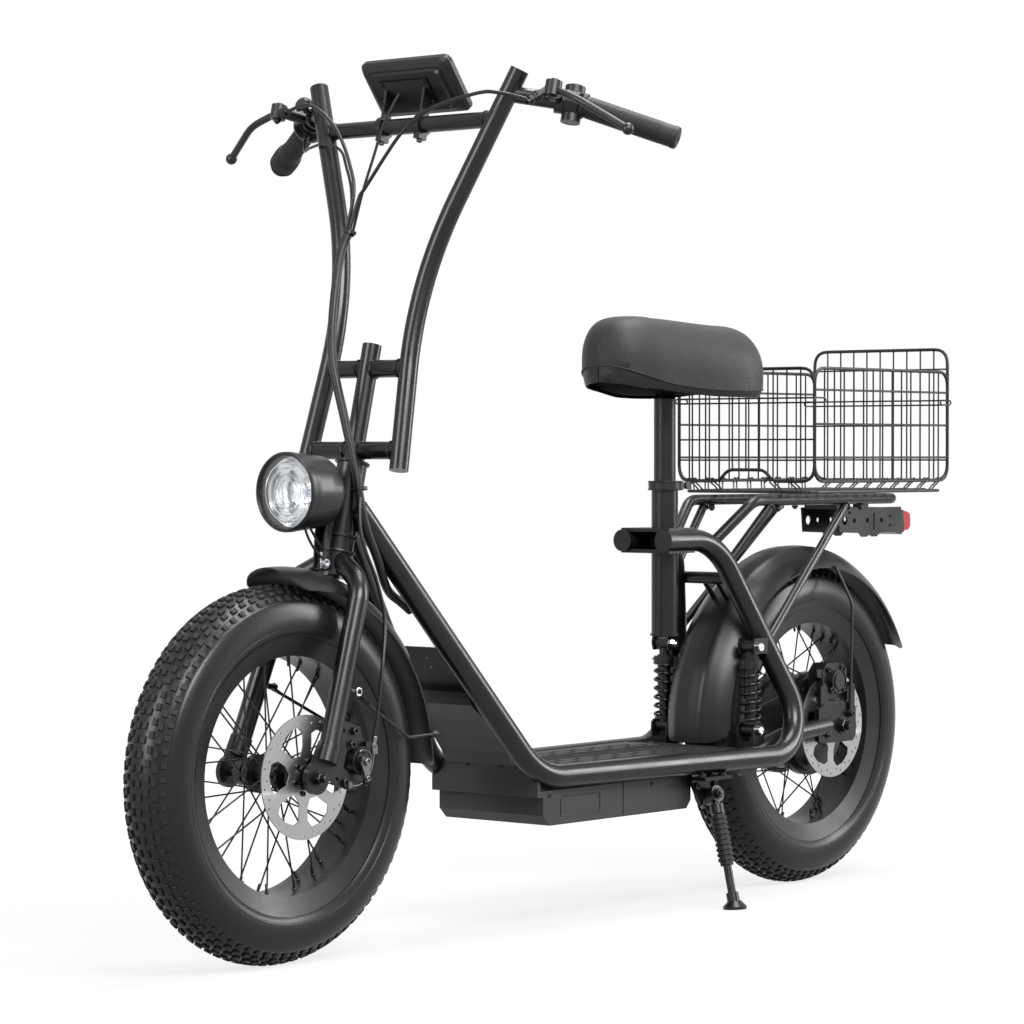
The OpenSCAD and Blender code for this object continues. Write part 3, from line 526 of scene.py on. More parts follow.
# %% Cables
SLEEVE = [(382, -42, 955), (398, -45, 919), (424, -34, 841), (442, -17, 777), (446, 8, 700), (446, 26, 640),
          (446, 34, 600), (438, 38, 560), (414, 36, 519), (384, 22, 486), (362, 13, 471), (342, 13, 459.5),
          (325, 15, 447.5)]
FRONT_BRAKE = [(452.2, 40.3, 600), (458, 44.5, 580), (460.5, 48.5, 558), (456, 54, 530), (441, 60, 490),
               (434, 67, 440), (451, 78, 380), (462, 79, 314)]
BAR_CABLES = [
    (2.5, [(335.2, 227.2, 1115), (340, 216, 1119), (352, 192, 1125), (361, 167, 1126), (373, 104, 1112),
           (375, 66, 1095), (378, 37, 1071), (380, -14, 1013), (380, -28, 997), (385.3, -38.9, 957.6)]),
    (2.5, [(334.1, -206, 1125.2), (340, -166, 1133), (346, -133, 1124), (353, -99, 1101), (360, -76, 1076),
           (368, -56, 1046), (376, -40, 1008), (384.1, -45.4, 957.9)]),
    (2.0, [(330, -1, 1138), (351, -9, 1097), (362, -18, 1052), (371, -29, 1006), (379.55, -38.55, 954.3)]),
    (2.0, [(264, -236, 1093), (290, -212, 1076), (321, -172, 1076), (340.5, -124, 1078), (347, -91, 1066),
           (356, -73, 1044), (366, -54, 1008), (377.6, -45.4, 954.9)])]
SLEEVE_SIDES, CABLE_SIDES, ROUTE_STEP = 14, 10, 6

sleeve = Mesh()
sleeve.tube(smooth_path(SLEEVE, ROUTE_STEP), 6.0, SLEEVE_SIDES)
sleeve_object = sleeve.done("cable_sleeve_skin", UPRIGHT, CABLE, None, slot="cable_rubber")
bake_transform(sleeve_object)
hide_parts("cable_sleeve")

thin = Mesh()
for radius, route in BAR_CABLES:
    thin.tube(smooth_path(route, ROUTE_STEP), radius, CABLE_SIDES)
thin.tube(smooth_path(FRONT_BRAKE, ROUTE_STEP), 2.5, CABLE_SIDES)
thin_object = thin.done("thin_cables", UPRIGHT, CABLE, "steering", slot="cable_rubber")
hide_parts("brake_cables")
print("cable rings:", len(sleeve.verts) // SLEEVE_SIDES, "+", len(thin.verts) // CABLE_SIDES)

ties = Mesh()
for spot, way, r in [((383.5, -42, 951), (0.4, -0.08, -0.91), 7.4), ((445, 32, 612), (0, 0.2, -1), 8.6)]:
    at = facing(spot, way)
    ties.lathe([(r - 1, -2), (r, -2), (r, 2), (r - 1, 2), (r - 1, -2)], 24, at)
    ties.box((r - 1, -3, -2.6), (r + 5, 3, 2.6), 0.6, at)
ties.done("cable_ties", UPRIGHT, CONTROL, "steering", smooth=False)

# %% [markdown]
# What repeats is made by Geometry Nodes. One group turns a piece round an axis, as a tyre's blocks, a hub's
# bolts and a rim's nipples do. The other sets it out in a row, as the mat's studs do. Both end by realizing
# the copies and setting their material, and the result is turned into a plain mesh at once.

# %% Geometry Nodes groups


def array_group(name, polar):
    tree = bpy.data.node_groups.new(name, "GeometryNodeTree")
    face = tree.interface
    face.new_socket("Geometry", in_out="INPUT", socket_type="NodeSocketGeometry")
    count = face.new_socket("Count", in_out="INPUT", socket_type="NodeSocketInt")
    second = face.new_socket("Phase" if polar else "Step", in_out="INPUT",
                             socket_type="NodeSocketFloat" if polar else "NodeSocketVector")
    finish = face.new_socket("Material", in_out="INPUT", socket_type="NodeSocketMaterial")
    face.new_socket("Geometry", in_out="OUTPUT", socket_type="NodeSocketGeometry")
    source = add(tree, "NodeGroupInput")
    index = add(tree, "GeometryNodeInputIndex")
    if polar:
        turns = add(tree, "ShaderNodeMath", {0: index.outputs[0], 1: 2 * math.pi}, operation="MULTIPLY")
        share = add(tree, "ShaderNodeMath", {0: turns.outputs[0], 1: source.outputs["Count"]},
                    operation="DIVIDE")
        total = add(tree, "ShaderNodeMath", {0: share.outputs[0], 1: source.outputs["Phase"]},
                    operation="ADD")
        spin = add(tree, "ShaderNodeCombineXYZ", {"Z": total.outputs[0]})
        points = add(tree, "GeometryNodePoints", {"Count": source.outputs["Count"]})
        copies = add(tree, "GeometryNodeInstanceOnPoints",
                     {"Points": points.outputs[0], "Instance": source.outputs["Geometry"],
                      "Rotation": add(tree, "FunctionNodeEulerToRotation", {0: spin.outputs[0]}).outputs[0]})
    else:
        place_at = add(tree, "ShaderNodeVectorMath", {0: source.outputs["Step"]}, operation="SCALE")
        tree.links.new(index.outputs[0], place_at.inputs["Scale"])
        points = add(tree, "GeometryNodePoints",
                     {"Count": source.outputs["Count"], "Position": place_at.outputs[0]})
        copies = add(tree, "GeometryNodeInstanceOnPoints",
                     {"Points": points.outputs[0], "Instance": source.outputs["Geometry"]})
    real = add(tree, "GeometryNodeRealizeInstances", {"Geometry": copies.outputs[0]})
    painted = add(tree, "GeometryNodeSetMaterial",
                  {"Geometry": real.outputs[0], "Material": source.outputs["Material"]})
    add(tree, "NodeGroupOutput", {"Geometry": painted.outputs[0]})
    return tree, (count.identifier, second.identifier, finish.identifier)


AROUND, IN_A_ROW = array_group("turned_copies", True), array_group("row_of_copies", False)


def repeat(unit, name, group, count, second, material, matrix, body, smooth=False):
    """The copies of unit, a Mesh in its own frame, become one plain mesh object at matrix.

    The second value is the angle of the first copy round an axis, or the step from copy to copy in a row.
    """
    tree, (count_id, second_id, material_id) = group
    seed = make(name, unit.verts, unit.faces, Matrix.Identity(4), material, None, smooth)
    copier = seed.modifiers.new("copies", "NODES")
    copier.node_group = tree
    copier[count_id], copier[second_id], copier[material_id] = count, second, material
    bpy.context.view_layer.update()
    graph = bpy.context.evaluated_depsgraph_get()
    flat = bpy.data.meshes.new_from_object(seed.evaluated_get(graph), depsgraph=graph)
    seed.modifiers.clear()
    seed.data = flat
    flat.name = name
    flat.transform(matrix)
    if not flat.materials:
        flat.materials.append(material)
    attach(seed, body)
    return seed


print("node groups:", AROUND[0].name, IN_A_ROW[0].name)

# %% [markdown]
# A knobbly tyre is moulded in one piece: a smooth side wall, and rows of blocks on the crown with deep
# grooves between them. The blocks come in equal pitches round the wheel. On either side of the middle a
# pitch has four rows of two blocks, some of them slanted, and one side is half a pitch behind the other.
# The carcass lies just under three millimetres below their tops.

# %% Tyres
SECTION_CENTRE, RIDGE_R, WALL_R, CARCASS_R, BLOCK_TOP, BLOCK_FOOT = 198.0, 47.0, 46.94, 44.2, 46.9, 43.4
BED_ANGLE, WALL_ANGLE, RIDGE_ANGLE, BEAD_ANGLE = 49, 56, 99, 112
RIM_EDGE, BEAD_R, PITCHES = 181.5, 179.5, 42
# low and high angle across the section, start and end along the pitch, slant
KNOBS = [(43.5, 54, 0.06, 0.28, 0), (43.5, 54, 0.56, 0.78, 0), (31, 40, 0.16, 0.42, 0.03),
         (30, 38, 0.66, 0.92, 0.03), (17.5, 26, 0.0, 0.26, 0), (18.5, 26.5, 0.50, 0.77, 0.04),
         (4, 13, 0.20, 0.46, 0), (3, 11, 0.70, 0.95, 0.02)]


def on_section(rho, phi):
    """Wheel radius and offset of a point rho from the section's middle, phi degrees from the crown."""
    return SECTION_CENTRE + rho * math.cos(math.radians(phi)), rho * math.sin(math.radians(phi))


def on_tyre(rho, phi, alpha):
    r, z = on_section(rho, phi)
    a = math.radians(alpha)
    return (r * math.cos(a), r * math.sin(a), z)


def block(mesh, phis, alphas, skew):
    """A block between two section angles and two wheel angles, with sloping sides and a rounded crown."""
    cuts = 3
    rows = []
    for rho, inset in ((BLOCK_FOOT, 0.0), (BLOCK_TOP - 0.8, 0.12), (BLOCK_TOP, 0.55)):
        row = []
        for i in range(cuts):
            phi = phis[0] + inset * 1.2 + (phis[1] - phis[0] - 2.4 * inset) * i / (cuts - 1)
            slant = skew * (phi - phis[0])
            for alpha in (alphas[0] + inset * 0.28, alphas[1] - inset * 0.28):
                row.append(on_tyre(rho, phi, alpha + slant))
        rows.append(row)
    verts = [v for row in rows for v in row]
    n = 2 * cuts
    ring = [0] + [2 * i for i in range(1, cuts)] + [2 * i + 1 for i in range(cuts - 1, -1, -1)]
    faces = [(j * n + a, j * n + b, (j + 1) * n + b, (j + 1) * n + a)
             for j in (0, 1) for a, b in zip(ring, ring[1:] + ring[:1])]
    crown = [2 * (n + i) for i in range(cuts - 1)]
    faces += [(c, c + 2, c + 3, c + 1) for c in crown]
    mesh.put(verts, faces)


def carcass_radius(angle):
    """Section radius of the carcass: low under the blocks, full in the wall, drawn in towards the bead."""
    if angle < BED_ANGLE:
        return CARCASS_R
    if angle < WALL_ANGLE:
        return CARCASS_R + (angle - BED_ANGLE) * 0.39
    return WALL_R - max(angle - BEAD_ANGLE, 0) * 0.35


def tyre(name, matrix, body, node):
    outline = [on_section(carcass_radius(abs(phi)), phi) for phi in range(-124, 125, 4)]
    outline = [p for p in outline if p[0] > RIM_EDGE]
    outline = [(BEAD_R, outline[0][1] * 0.93)] + outline + [(BEAD_R, outline[-1][1] * 0.93)]
    carcass = Mesh()
    carcass.lathe(outline + [outline[0]], 144)
    for side in (-1, 1):
        r, z = on_section(RIDGE_R, side * RIDGE_ANGLE)
        carcass.lathe([(r + 0.8, z - side * 0.5), (r, z + side * 0.35), (r - 0.8, z - side * 0.5)], 144)
    wall = carcass.done(name + "_carcass", matrix, SIDEWALL, body, slot="tyre")
    pitch = 360 / PITCHES
    unit = Mesh()
    for side in (-1, 1):
        offset = 0.0 if side > 0 else pitch / 2
        for low_phi, high_phi, start, end, slant in KNOBS:
            phis = (low_phi, high_phi) if side > 0 else (-high_phi, -low_phi)
            block(unit, phis, (offset + pitch * start, offset + pitch * end), side * slant)
    tread = repeat(unit, name + "_tread", AROUND, PITCHES, 0.0, TREAD, matrix, body)
    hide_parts(node)
    print(name, "faces:", len(wall.data.polygons), "+", len(tread.data.polygons))


tyre("front", FRONT, "front_wheel", "front_tyre")
tyre("rear", REAR, "rear_wheel", "rear_tyre")

# %% [markdown]
# Each spoke passes through the rim and is held by a nipple, a long nut with a domed head. The valve stands
# between two of them. Six screws hold each disc to its hub, and twelve close either side of the motor.

# %% Nipples, valves, hub and disc bolts
RIM_BED_R, SPOKE_GROUPS = 152.6, 9


def nipples(name, matrix, body, swing, rear):
    unit = Mesh()
    for start, z in ((swing, 8.6), (20 - swing, 4.2)):
        for side, turn_deg in ((1, 0), (-1, 10)):
            a = math.radians(turn_deg + start)
            spot = Vector((RIM_BED_R * math.cos(a), RIM_BED_R * math.sin(a), side * z))
            unit.lathe([(0.01, 0), (3.2, 0), (2.6, 1.6), (2.0, 2.2), (1.9, 11), (1.3, 12.5)], 10,
                       facing(spot, (-math.cos(a), -math.sin(a), side * (0.13 if rear else 0.16))))
    repeat(unit, name, AROUND, SPOKE_GROUPS, 0.0, BLACK_OXIDE, matrix, body, True)
    valve = Mesh()
    at = facing((152.5, 0, 0), (-1, 0, 0))
    valve.lathe([(0.01, 0), (7, 0), (6.2, 2.4), (3.4, 3.4), (3.4, 20), (4.1, 21), (4.1, 29), (3.0, 31),
                 (0.01, 31)], 20, at)
    valve.done(name + "_valve", matrix @ Matrix.Rotation(math.radians(205), 4, "Z"), CONTROL, body)


nipples("front_nipples", FRONT, "front_wheel", 62, False)
nipples("rear_nipples", REAR, "rear_wheel", 34, True)

for name, matrix, body, z in (("front_disc_bolts", FRONT, "front_wheel", 58.8),
                              ("rear_disc_bolts", REAR, "rear_wheel", 72.8)):
    bolt = Mesh()
    screw(bolt, (21.0, 0, z), (0, 0, 1), 3.6, 2.6)
    repeat(bolt, name, AROUND, 6, 0.3, BLACK_OXIDE, matrix, body)

for name, z, way in (("motor_bolts_left", 43.8, 1), ("motor_bolts_right", -43.8, -1)):
    bolt = Mesh()
    screw(bolt, (65, 0, z), (0, 0, way), 3.0, 3.0)
    repeat(bolt, name, AROUND, 12, 0.1, BLACK_OXIDE, REAR, "rear_wheel")
print("nipples in each wheel:", 4 * SPOKE_GROUPS)

# %% [markdown]
# The coil springs are wound from round wire with a closed turn at each end. A fine tube along a helix gives
# the wire the smooth shine that the coarse CAD helix lacks.

# %% Springs and shock bolts
SHOCK_X, SHOCK_Y = -356, 80
COIL_R, COIL_WIRE_R, COIL_TURNS, COIL_FOOT, COIL_HEIGHT = 14.5, 2.2, 6, 265, 77
springs = Mesh()
for side in (-1, 1):
    helix = []
    for i in range(0, 361):
        t = i / 360
        closing_in = 0.04 * math.sin(2 * math.pi * t) / (2 * math.pi)
        a = 2 * math.pi * COIL_TURNS * t
        helix.append((SHOCK_X + COIL_R * math.cos(a), side * (SHOCK_Y + COIL_R * math.sin(a)),
                      COIL_FOOT + COIL_HEIGHT * (t - closing_in)))
    springs.tube(helix, COIL_WIRE_R, 12)
coil = springs.done("shock_coils", UPRIGHT, POWDER, "frame", slot="spring_steel")
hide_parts("shock_springs")

bright = Mesh()
for side in (-1, 1):
    for z in (373, 250):
        screw(bright, (SHOCK_X, side * 95.2, z), (0, side, 0), 6.2, 5.5)
        nut(bright, (SHOCK_X, side * 64.6, z), (0, -side, 0), 6.0, 5.5, 3.0, 3.0)
bright.done("shock_bolts", UPRIGHT, CHROME, "frame", smooth=False)

collars = Mesh()
for side in (-1, 1):
    for z, r in ((341, 15.6), (347, 17.0)):
        at = Matrix.Translation((SHOCK_X, side * SHOCK_Y, z))
        collars.lathe([(10.4, 0), (r, 0), (r, 4.6), (10.4, 4.6)], 24, at)
        for k in range(6):
            turned = at @ Matrix.Rotation(k * math.pi / 3, 4, "Z")
            collars.box((r - 1.5, -1.6, 0.6), (r + 1.1, 1.6, 4.0), 0, turned)
collars.done("preload_collars", UPRIGHT, BLACK_OXIDE, "frame", smooth=False)
print("spring, bolt and collar faces:", len(springs.faces), len(bright.faces), len(collars.faces))

# %% [markdown]
# The saddle is moulded foam under stretched leather, on a plastic shell that is open below. The table gives
# each section from nose to tail: its place, its half width, and the heights of the shell's lower edge, the
# seam and the top. A smooth curve runs between the sections. The top is crowned with a shallow dish along
# the middle, and the seam rises towards the nose, where the shell shows most.

# %% Saddle sections
SADDLE = [(-95, 5, 760, 784, 806), (-97, 16, 759, 784, 818), (-101, 27, 758, 783, 829),
          (-108, 38, 757, 780, 839), (-118, 48, 755, 776, 847), (-132, 57, 752, 771, 853),
          (-152, 66, 750, 765, 856), (-176, 74, 748, 759, 856), (-205, 83, 745, 755, 855),
          (-250, 97, 741, 751, 852), (-300, 108, 740, 750, 849), (-338, 108, 740, 751, 848),
          (-364, 96, 741, 752, 844), (-380, 78, 743, 754, 836), (-389, 52, 746, 757, 824),
          (-392, 24, 749, 760, 810)]


def section(table, t):
    i = min(int(t), len(table) - 2)
    near = [table[max(i - 1, 0)], table[i], table[i + 1], table[min(i + 2, len(table) - 1)]]
    return [curve_point(a, b, c, d, t - i) for a, b, c, d in zip(*near)]


STEPS = 75
STATIONS = [section(SADDLE, (len(SADDLE) - 1) * k / STEPS) for k in range(STEPS + 1)]
print("saddle sections:", len(STATIONS))

# %% [markdown]
# The cover is one closed skin. Round each section the side stands nearly upright and turns over the
# shoulder, and both ends close in small steps, so that the leather ends in a round nose and tail. Its sides
# bulge out a little above the seam.

# %% Saddle cover
AROUND_SADDLE, SQUARENESS, SHOULDER, BULGE = 56, 0.66, 0.74, 0.022
DISH_DEPTH, DISH_BACK, DISH_FRONT = 3.0, -340, -180


def cover_ring(x, half, seam, high):
    ring = []
    for a in circle_angles(AROUND_SADDLE):
        out, rise = math.cos(a), math.sin(a)
        y = half * math.copysign(abs(out) ** SQUARENESS, out)
        if rise >= 0:
            dish = DISH_DEPTH * math.exp(-((y / (half * 0.3)) ** 2)) if DISH_BACK < x < DISH_FRONT else 0.0
            z = seam + (high - seam) * rise ** SHOULDER - dish * rise
            y *= 1 + BULGE * math.sin(math.pi * min(rise * 1.5, 1.0))
        else:
            z = seam + 1.2 * rise
        ring.append((x, y, z))
    return ring


def closing(ring, x_out, keep):
    middle = (max(v[2] for v in ring) + min(v[2] for v in ring)) / 2
    return [(ring[0][0] + x_out, v[1] * keep, middle + (v[2] - middle) * keep) for v in ring]


rings = [cover_ring(x, half, seam, high) for x, half, low, seam, high in STATIONS]
rings = ([closing(rings[0], 0.9, 0.3), closing(rings[0], 0.7, 0.75)] + rings
         + [closing(rings[-1], -1.2, 0.75), closing(rings[-1], -1.6, 0.3)])
cover = Mesh()
cover.loft(rings)
cushion = cover.done("saddle_cover", UPRIGHT, LEATHER, "frame", slot="seat_leather")
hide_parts("saddle_cushion")
print("saddle faces:", len(cushion.data.polygons))

# %% [markdown]
# The shell under the foam is injection moulded. Its rim curls inwards, and its underside is hollow and
# unpolished; the faces inside the hollow are painted near black, a painted shade that makes the saddle
# look dark from below. A thin cord runs in the seam between leather and shell.

# %% Saddle shell and seam
MIDDLE_X, SHELL_LENGTH = -243, 0.99
shell_rings = []
for x, half, low, seam, high in STATIONS:
    side = [(half - 1.2, seam - 0.8), (half - 1.8, seam - 0.45 * (seam - low)), (half - 5, low + 1),
            (half - 8, low), (half - 10.5, low + 1.5), (half - 9, seam - 6)]
    side = [(max(y, 0.6 + 0.12 * k), z) for (y, z), k in zip(side, range(5, -1, -1))]
    x = MIDDLE_X + (x - MIDDLE_X) * SHELL_LENGTH
    shell_rings.append([(x, y, z) for y, z in side] + [(x, -y, z) for y, z in side[::-1]])
shell = Mesh()
shell.loft(shell_rings)
# The inside of the shell is near black: a painted shade for its hollow underside, on a rough unpolished
# finish.
UNPOLISHED_WITH_PAINTED_SHADE = rubber("unpolished_polypropylene_painted_shade", "#040404", "#070707", 0.9, 0.4, 0.1, 0.02)
base = shell.done("saddle_shell", UPRIGHT, CONTROL, "frame")
base.data.materials.append(UNPOLISHED_WITH_PAINTED_SHADE)
points_round = len(shell_rings[0])
faces_along = points_round * (len(shell_rings) - 1)
for face in base.data.polygons:
    inside = face.index < faces_along and 3 <= face.index % points_round <= 7
    face.material_index = 1 if inside else 0
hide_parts("saddle_base")

piping = Mesh()
left = [(x, half + 0.1, seam - 0.6) for x, half, low, seam, high in STATIONS]
piping.tube(left + [(x, -y, z) for x, y, z in left[::-1]], 1.1, 8, closed=True)
piping.done("saddle_piping", UPRIGHT, LEATHER, "frame", slot="seat_leather")
print("shell rings:", len(shell_rings))

# %% [markdown]
# The basket is welded wire. Each panel is a frame of thick wire with rounded corners, filled with thin
# wires at an even pitch, and the panels hook into each other along the bottom edge so that the basket can
# fold flat.

# %% Basket
X0, X1, HALF, FLOOR, TOP, BACK_TOP = -813.2, -452.8, 126.2, 600.4, 785.2, 821.0
INNER, WIRE_R, WIRE_PITCH = 7, 1.35, 26.5


def rounded(corners, radius):
    """A closed polyline with its corners rounded."""
    out = []
    pts = [Vector(c) for c in corners]
    for i, p in enumerate(pts):
        a, b = (pts[i - 1] - p).normalized(), (pts[(i + 1) % len(pts)] - p).normalized()
        reach = min(radius, (pts[i - 1] - p).length / 2.2, (pts[(i + 1) % len(pts)] - p).length / 2.2)
        for k in range(6):
            t = k / 5
            out.append(p + a * reach * (1 - t) ** 2 + b * reach * t ** 2)
    return out


def panel(points_of, length, high, levels, notch=False):
    """One wall: points_of(u, z) gives a point u along the wall at height z."""
    foot = FLOOR + 16
    outline = [points_of(0, foot), points_of(length, foot), points_of(length, high), points_of(0, high)]
    if notch:
        half = length / 2
        outline[1:1] = [points_of(half - 50, foot), points_of(half - 34, foot + 17),
                        points_of(half + 34, foot + 17), points_of(half + 50, foot)]
    thick.tube(rounded(outline, 24), 2.6, 10, closed=True)
    count = round(length / WIRE_PITCH)
    for k in range(1, count):
        u = length * k / count
        raised = 17 if notch and abs(u - length / 2) < 36 else 0
        thin_wires.tube([points_of(u, foot + raised), points_of(u, high)], WIRE_R, 6)
    for z, r in levels:
        thin_wires.tube([points_of(1, z), points_of(length - 1, z)], r, 6)


thick, thin_wires, hooks = Mesh(), Mesh(), Mesh()
LONG, WIDE = X1 - X0, 2 * HALF
for side in (-1, 1):
    panel(lambda u, z: (X0 + u, side * HALF, z), LONG, TOP, [(z, 1.7) for z in (652, 702, 753)])
panel(lambda u, z: (X1, -HALF + u, z), WIDE, TOP, [(z, WIRE_R) for z in (648, 679, 734, 741)], notch=True)
panel(lambda u, z: (X0, -HALF + u, z), WIDE, BACK_TOP, [(z, WIRE_R) for z in (648, 702, 734, 741, 790)])
floor_frame = [(X0 + INNER, -HALF + INNER, FLOOR), (X1 - INNER, -HALF + INNER, FLOOR),
               (X1 - INNER, HALF - INNER, FLOOR), (X0 + INNER, HALF - INNER, FLOOR)]
thick.tube(rounded(floor_frame, 14), 2.4, 8, closed=True)
for k in range(1, 14):
    x = X0 + LONG * k / 14
    thin_wires.tube([(x, -HALF + INNER, FLOOR), (x, HALF - INNER, FLOOR)], WIRE_R, 6)
for k in range(1, 7):
    y = -HALF + WIDE * k / 7
    thin_wires.tube([(X0 + INNER, y, FLOOR + 2.4), (X1 - INNER, y, FLOOR + 2.4)], WIRE_R, 6)


def hook(spot, along_wall, inward):
    """A pair of wires that loops round the foot of a wall and slants down to the floor frame."""
    spot, along_wall, inward = Vector(spot), Vector(along_wall), Vector(inward)
    for shift in (0.0, 8.0):
        top = spot + along_wall * shift
        ring = [top + along_wall * 4.0 * math.cos(a) + Vector((0, 0, 16 + 4.0 * math.sin(a))) - inward * 1.2
                for a in [math.pi * (1.15 - 1.3 * j / 8) for j in range(9)]]
        foot = top + along_wall * 14 + inward * INNER
        hooks.tube(ring + [top + along_wall * 9 + inward * 3 + Vector((0, 0, 8)), foot], 1.25, 6)


for side in (-1, 1):
    for k in range(9):
        hook((X0 + 22 + k * 37.0, side * HALF, FLOOR), (1, 0, 0), (0, -side, 0))
for k in range(6):
    if k not in (2, 3):
        hook((X1, -HALF + 20 + k * 37.0, FLOOR), (0, 1, 0), (-1, 0, 0))
for side in (-1, 1):
    for x, inward in ((X0, 1), (X1, -1)):
        clip = [(x + inward * u, side * (HALF + 3.0), z) for u, z in
                ((-2.8, 741), (22, 741), (25, 737.5), (22, 734), (-2.8, 734), (-6, 737.5))]
        hooks.tube(rounded(clip, 4), 1.3, 6, closed=True)
frame_wire = thick.done("basket_frames", UPRIGHT, WIRE, "frame", slot="black_wire")
thin_wires.done("basket_wires", UPRIGHT, WIRE, "frame", slot="black_wire")
hooks.done("basket_hooks", UPRIGHT, WIRE, "frame", slot="black_wire")
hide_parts("basket")
print("basket faces:", len(thick.faces) + len(thin_wires.faces) + len(hooks.faces))

# %% [markdown]
# Each fender is one thin plastic moulding, bent round the wheel. Its corners are rounded, and the rear one
# has two soft flutes that stiffen it. The skin is a grid over the width and the angle, with an inner face
# under it.

# %% Fender skins
FENDER_R, FENDER_T, CORNER_R = 272.0, 2.4, 24
FLUTE_OFFSET, FLUTE_WIDTH = 23, 8


def fender_skin(node, body, centre, first, last, half, flute):
    """Runs from the first to the last angle round centre, bent across its width, with flutes that high."""
    bend = half * 1.2
    across, along = 40, 110
    grid = []
    for j in range(across + 1):
        y = -half + 2 * half * j / across
        rise = flute * math.exp(-((abs(y) - FLUTE_OFFSET) / FLUTE_WIDTH) ** 2)
        r = FENDER_R - bend + math.sqrt(bend * bend - y * y) + rise
        near = max(abs(y) - (half - CORNER_R), 0.0)
        corner = math.degrees((CORNER_R - math.sqrt(CORNER_R * CORNER_R - near * near)) / FENDER_R)
        grid.append((y, r, first + corner, last - corner))
    verts = []
    for depth in (0.0, FENDER_T):
        for i in range(along + 1):
            for y, r, low, high in grid:
                angle = math.radians(low + (high - low) * i / along)
                x, z = (r - depth) * math.cos(angle), (r - depth) * math.sin(angle)
                verts.append((centre[0] + x, y, centre[1] + z))
    row, sheet = across + 1, (along + 1) * (across + 1)
    faces = []
    for i in range(along):
        for j in range(across):
            k = i * row + j
            faces += [(k, k + 1, k + row + 1, k + row),
                      (sheet + k, sheet + k + row, sheet + k + row + 1, sheet + k + 1)]
    rim = (list(range(across)) + [i * row + across for i in range(along)]
           + [along * row + j for j in range(across, 0, -1)] + [i * row for i in range(along, 0, -1)])
    faces += [(a, b, sheet + b, sheet + a) for a, b in zip(rim, rim[1:] + rim[:1])]
    skin = make(node + "_skin", verts, faces, UPRIGHT, FENDER, body)
    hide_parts(node)
    print(node, "faces:", len(faces))


fender_skin("front_fender", "steering", (AXLE_X - 12, TYRE_R - 4.5), 85.5, 180, 51, 0.0)
fender_skin("rear_fender", "frame", (-AXLE_X, TYRE_R), -3, 156, 58, 1.8)

# %% [markdown]
# Welds join the tubes. A weld bead is a low ring of overlapping ripples where one tube meets another, so it
# is made as a ring whose radius wavers a little. The powder coat runs over it, which makes it soft. The two
# rail ends in front of the rack are added here.

# %% Weld beads


def weld(mesh, centre, axis, r, wire=1.5):
    at = facing(centre, axis)
    ring = []
    for a in circle_angles(40):
        wavy = r + 0.35 * math.sin(9 * a)
        ring.append(at @ Vector((wavy * math.cos(a), wavy * math.sin(a), 0.25 * math.cos(7 * a))))
    mesh.tube(ring, wire, 6, closed=True)


bar_welds = Mesh()
for w, half, r in ((793, 57, 12.0), (682, 68, 12.0), (1130, 137, 11.2)):
    inner = (13.5,) if w < 1000 else ()
    for y in (half, *inner):
        for side in (-1, 1):
            weld(bar_welds, (0, side * y, w), (0, 1, 0), r)
bar_welds.done("bar_welds", STEERING, POWDER, "steering")

frame_welds = Mesh()
for side in (-1, 1):
    weld(frame_welds, (-428.6, side * 61, 579), (82, -15, -82), 7.3, 1.3)
    weld(frame_welds, (-626, side * 62.4, 578), (240, 26, -200), 7.3, 1.3)
for z in (513.2, 549.3):
    weld(frame_welds, (-252, 0, z), (0, 0, 1), 17.6, 1.4)
for side in (-1, 1):
    frame_welds.tube([(-341, side * 44.5, 545.2), (-310, side * 35.1, 519.2)], 8, 20)
frame_welds.done("frame_welds", UPRIGHT, POWDER, "frame")
print("welds:", len(bar_welds.faces) + len(frame_welds.faces), "faces")

# %% [markdown]
# A headset turns between two pressed cups, one at each end of the head tube. The stem's clamp sits on the
# upper one, and a plain strap goes round the tube between them.

# %% Headset
cups = Mesh()
for w, flip in ((547, -1), (663, 1)):
    at = Matrix.Translation((0, 0, w)) @ Matrix.Diagonal((1, 1, flip, 1))
    cups.lathe([(15, 0.2), (22.6, 0.2), (23.2, 1.2), (23.2, 3.0), (21.5, 4.4), (15, 4.6), (15, 0.2)], 40, at)
cups.done("headset_cups", STEERING, SATIN, "frame")

tie_ring = Mesh()
tie_ring.lathe([(21.4, -1.6), (22.8, -1.6), (22.8, 1.6), (21.4, 1.6), (21.4, -1.6)], 36,
               Matrix.Translation((0, 0, 566)))
tie_ring.box((-25.5, -3, 563.4), (-21.5, 3, 568.6), 0.8)
tie_ring.done("head_tube_tie", STEERING, CONTROL, "frame")
print("headset faces:", len(cups.faces) + len(tie_ring.faces))

# %% [markdown]
# The lamp has a rolled bezel that holds the lens, four fine rings in the lens, and a seam near the back.
# Two wires leave it below and go behind the fork crown. A zinc bolt holds its bracket and the fender's.

# %% Lamp
LAMP_Z = 608
bezel = Mesh()
lamp_at = Matrix.Translation((0, 0, LAMP_Z)) @ Matrix.Rotation(math.pi / 2, 4, "Y")
bezel.lathe([(47.2, 546), (47.4, 551.5), (49.2, 553.6), (51.2, 552.4), (51.9, 549), (51.6, 544.5),
             (50.6, 543.6), (50.2, 546), (47.2, 546)], 64, lamp_at)
bezel.done("lamp_bezel", UPRIGHT, HOUSING, "steering")
lens_rings = Mesh()
for r in (14.5, 22, 30, 38):
    lens_rings.lathe([(r, 545.6), (r + 0.9, 545.1), (r + 1.8, 545.6), (r, 545.6)], 56, lamp_at)
lens_rings.done("lens_rings", UPRIGHT, CLEAR, "steering")
groove = Mesh()
groove.tube([(483.5, 29.8 * math.cos(a), LAMP_Z + 29.8 * math.sin(a)) for a in circle_angles(48)], 0.9, 6,
            closed=True)
groove.done("lamp_seam", UPRIGHT, BLACK_OXIDE, "steering")

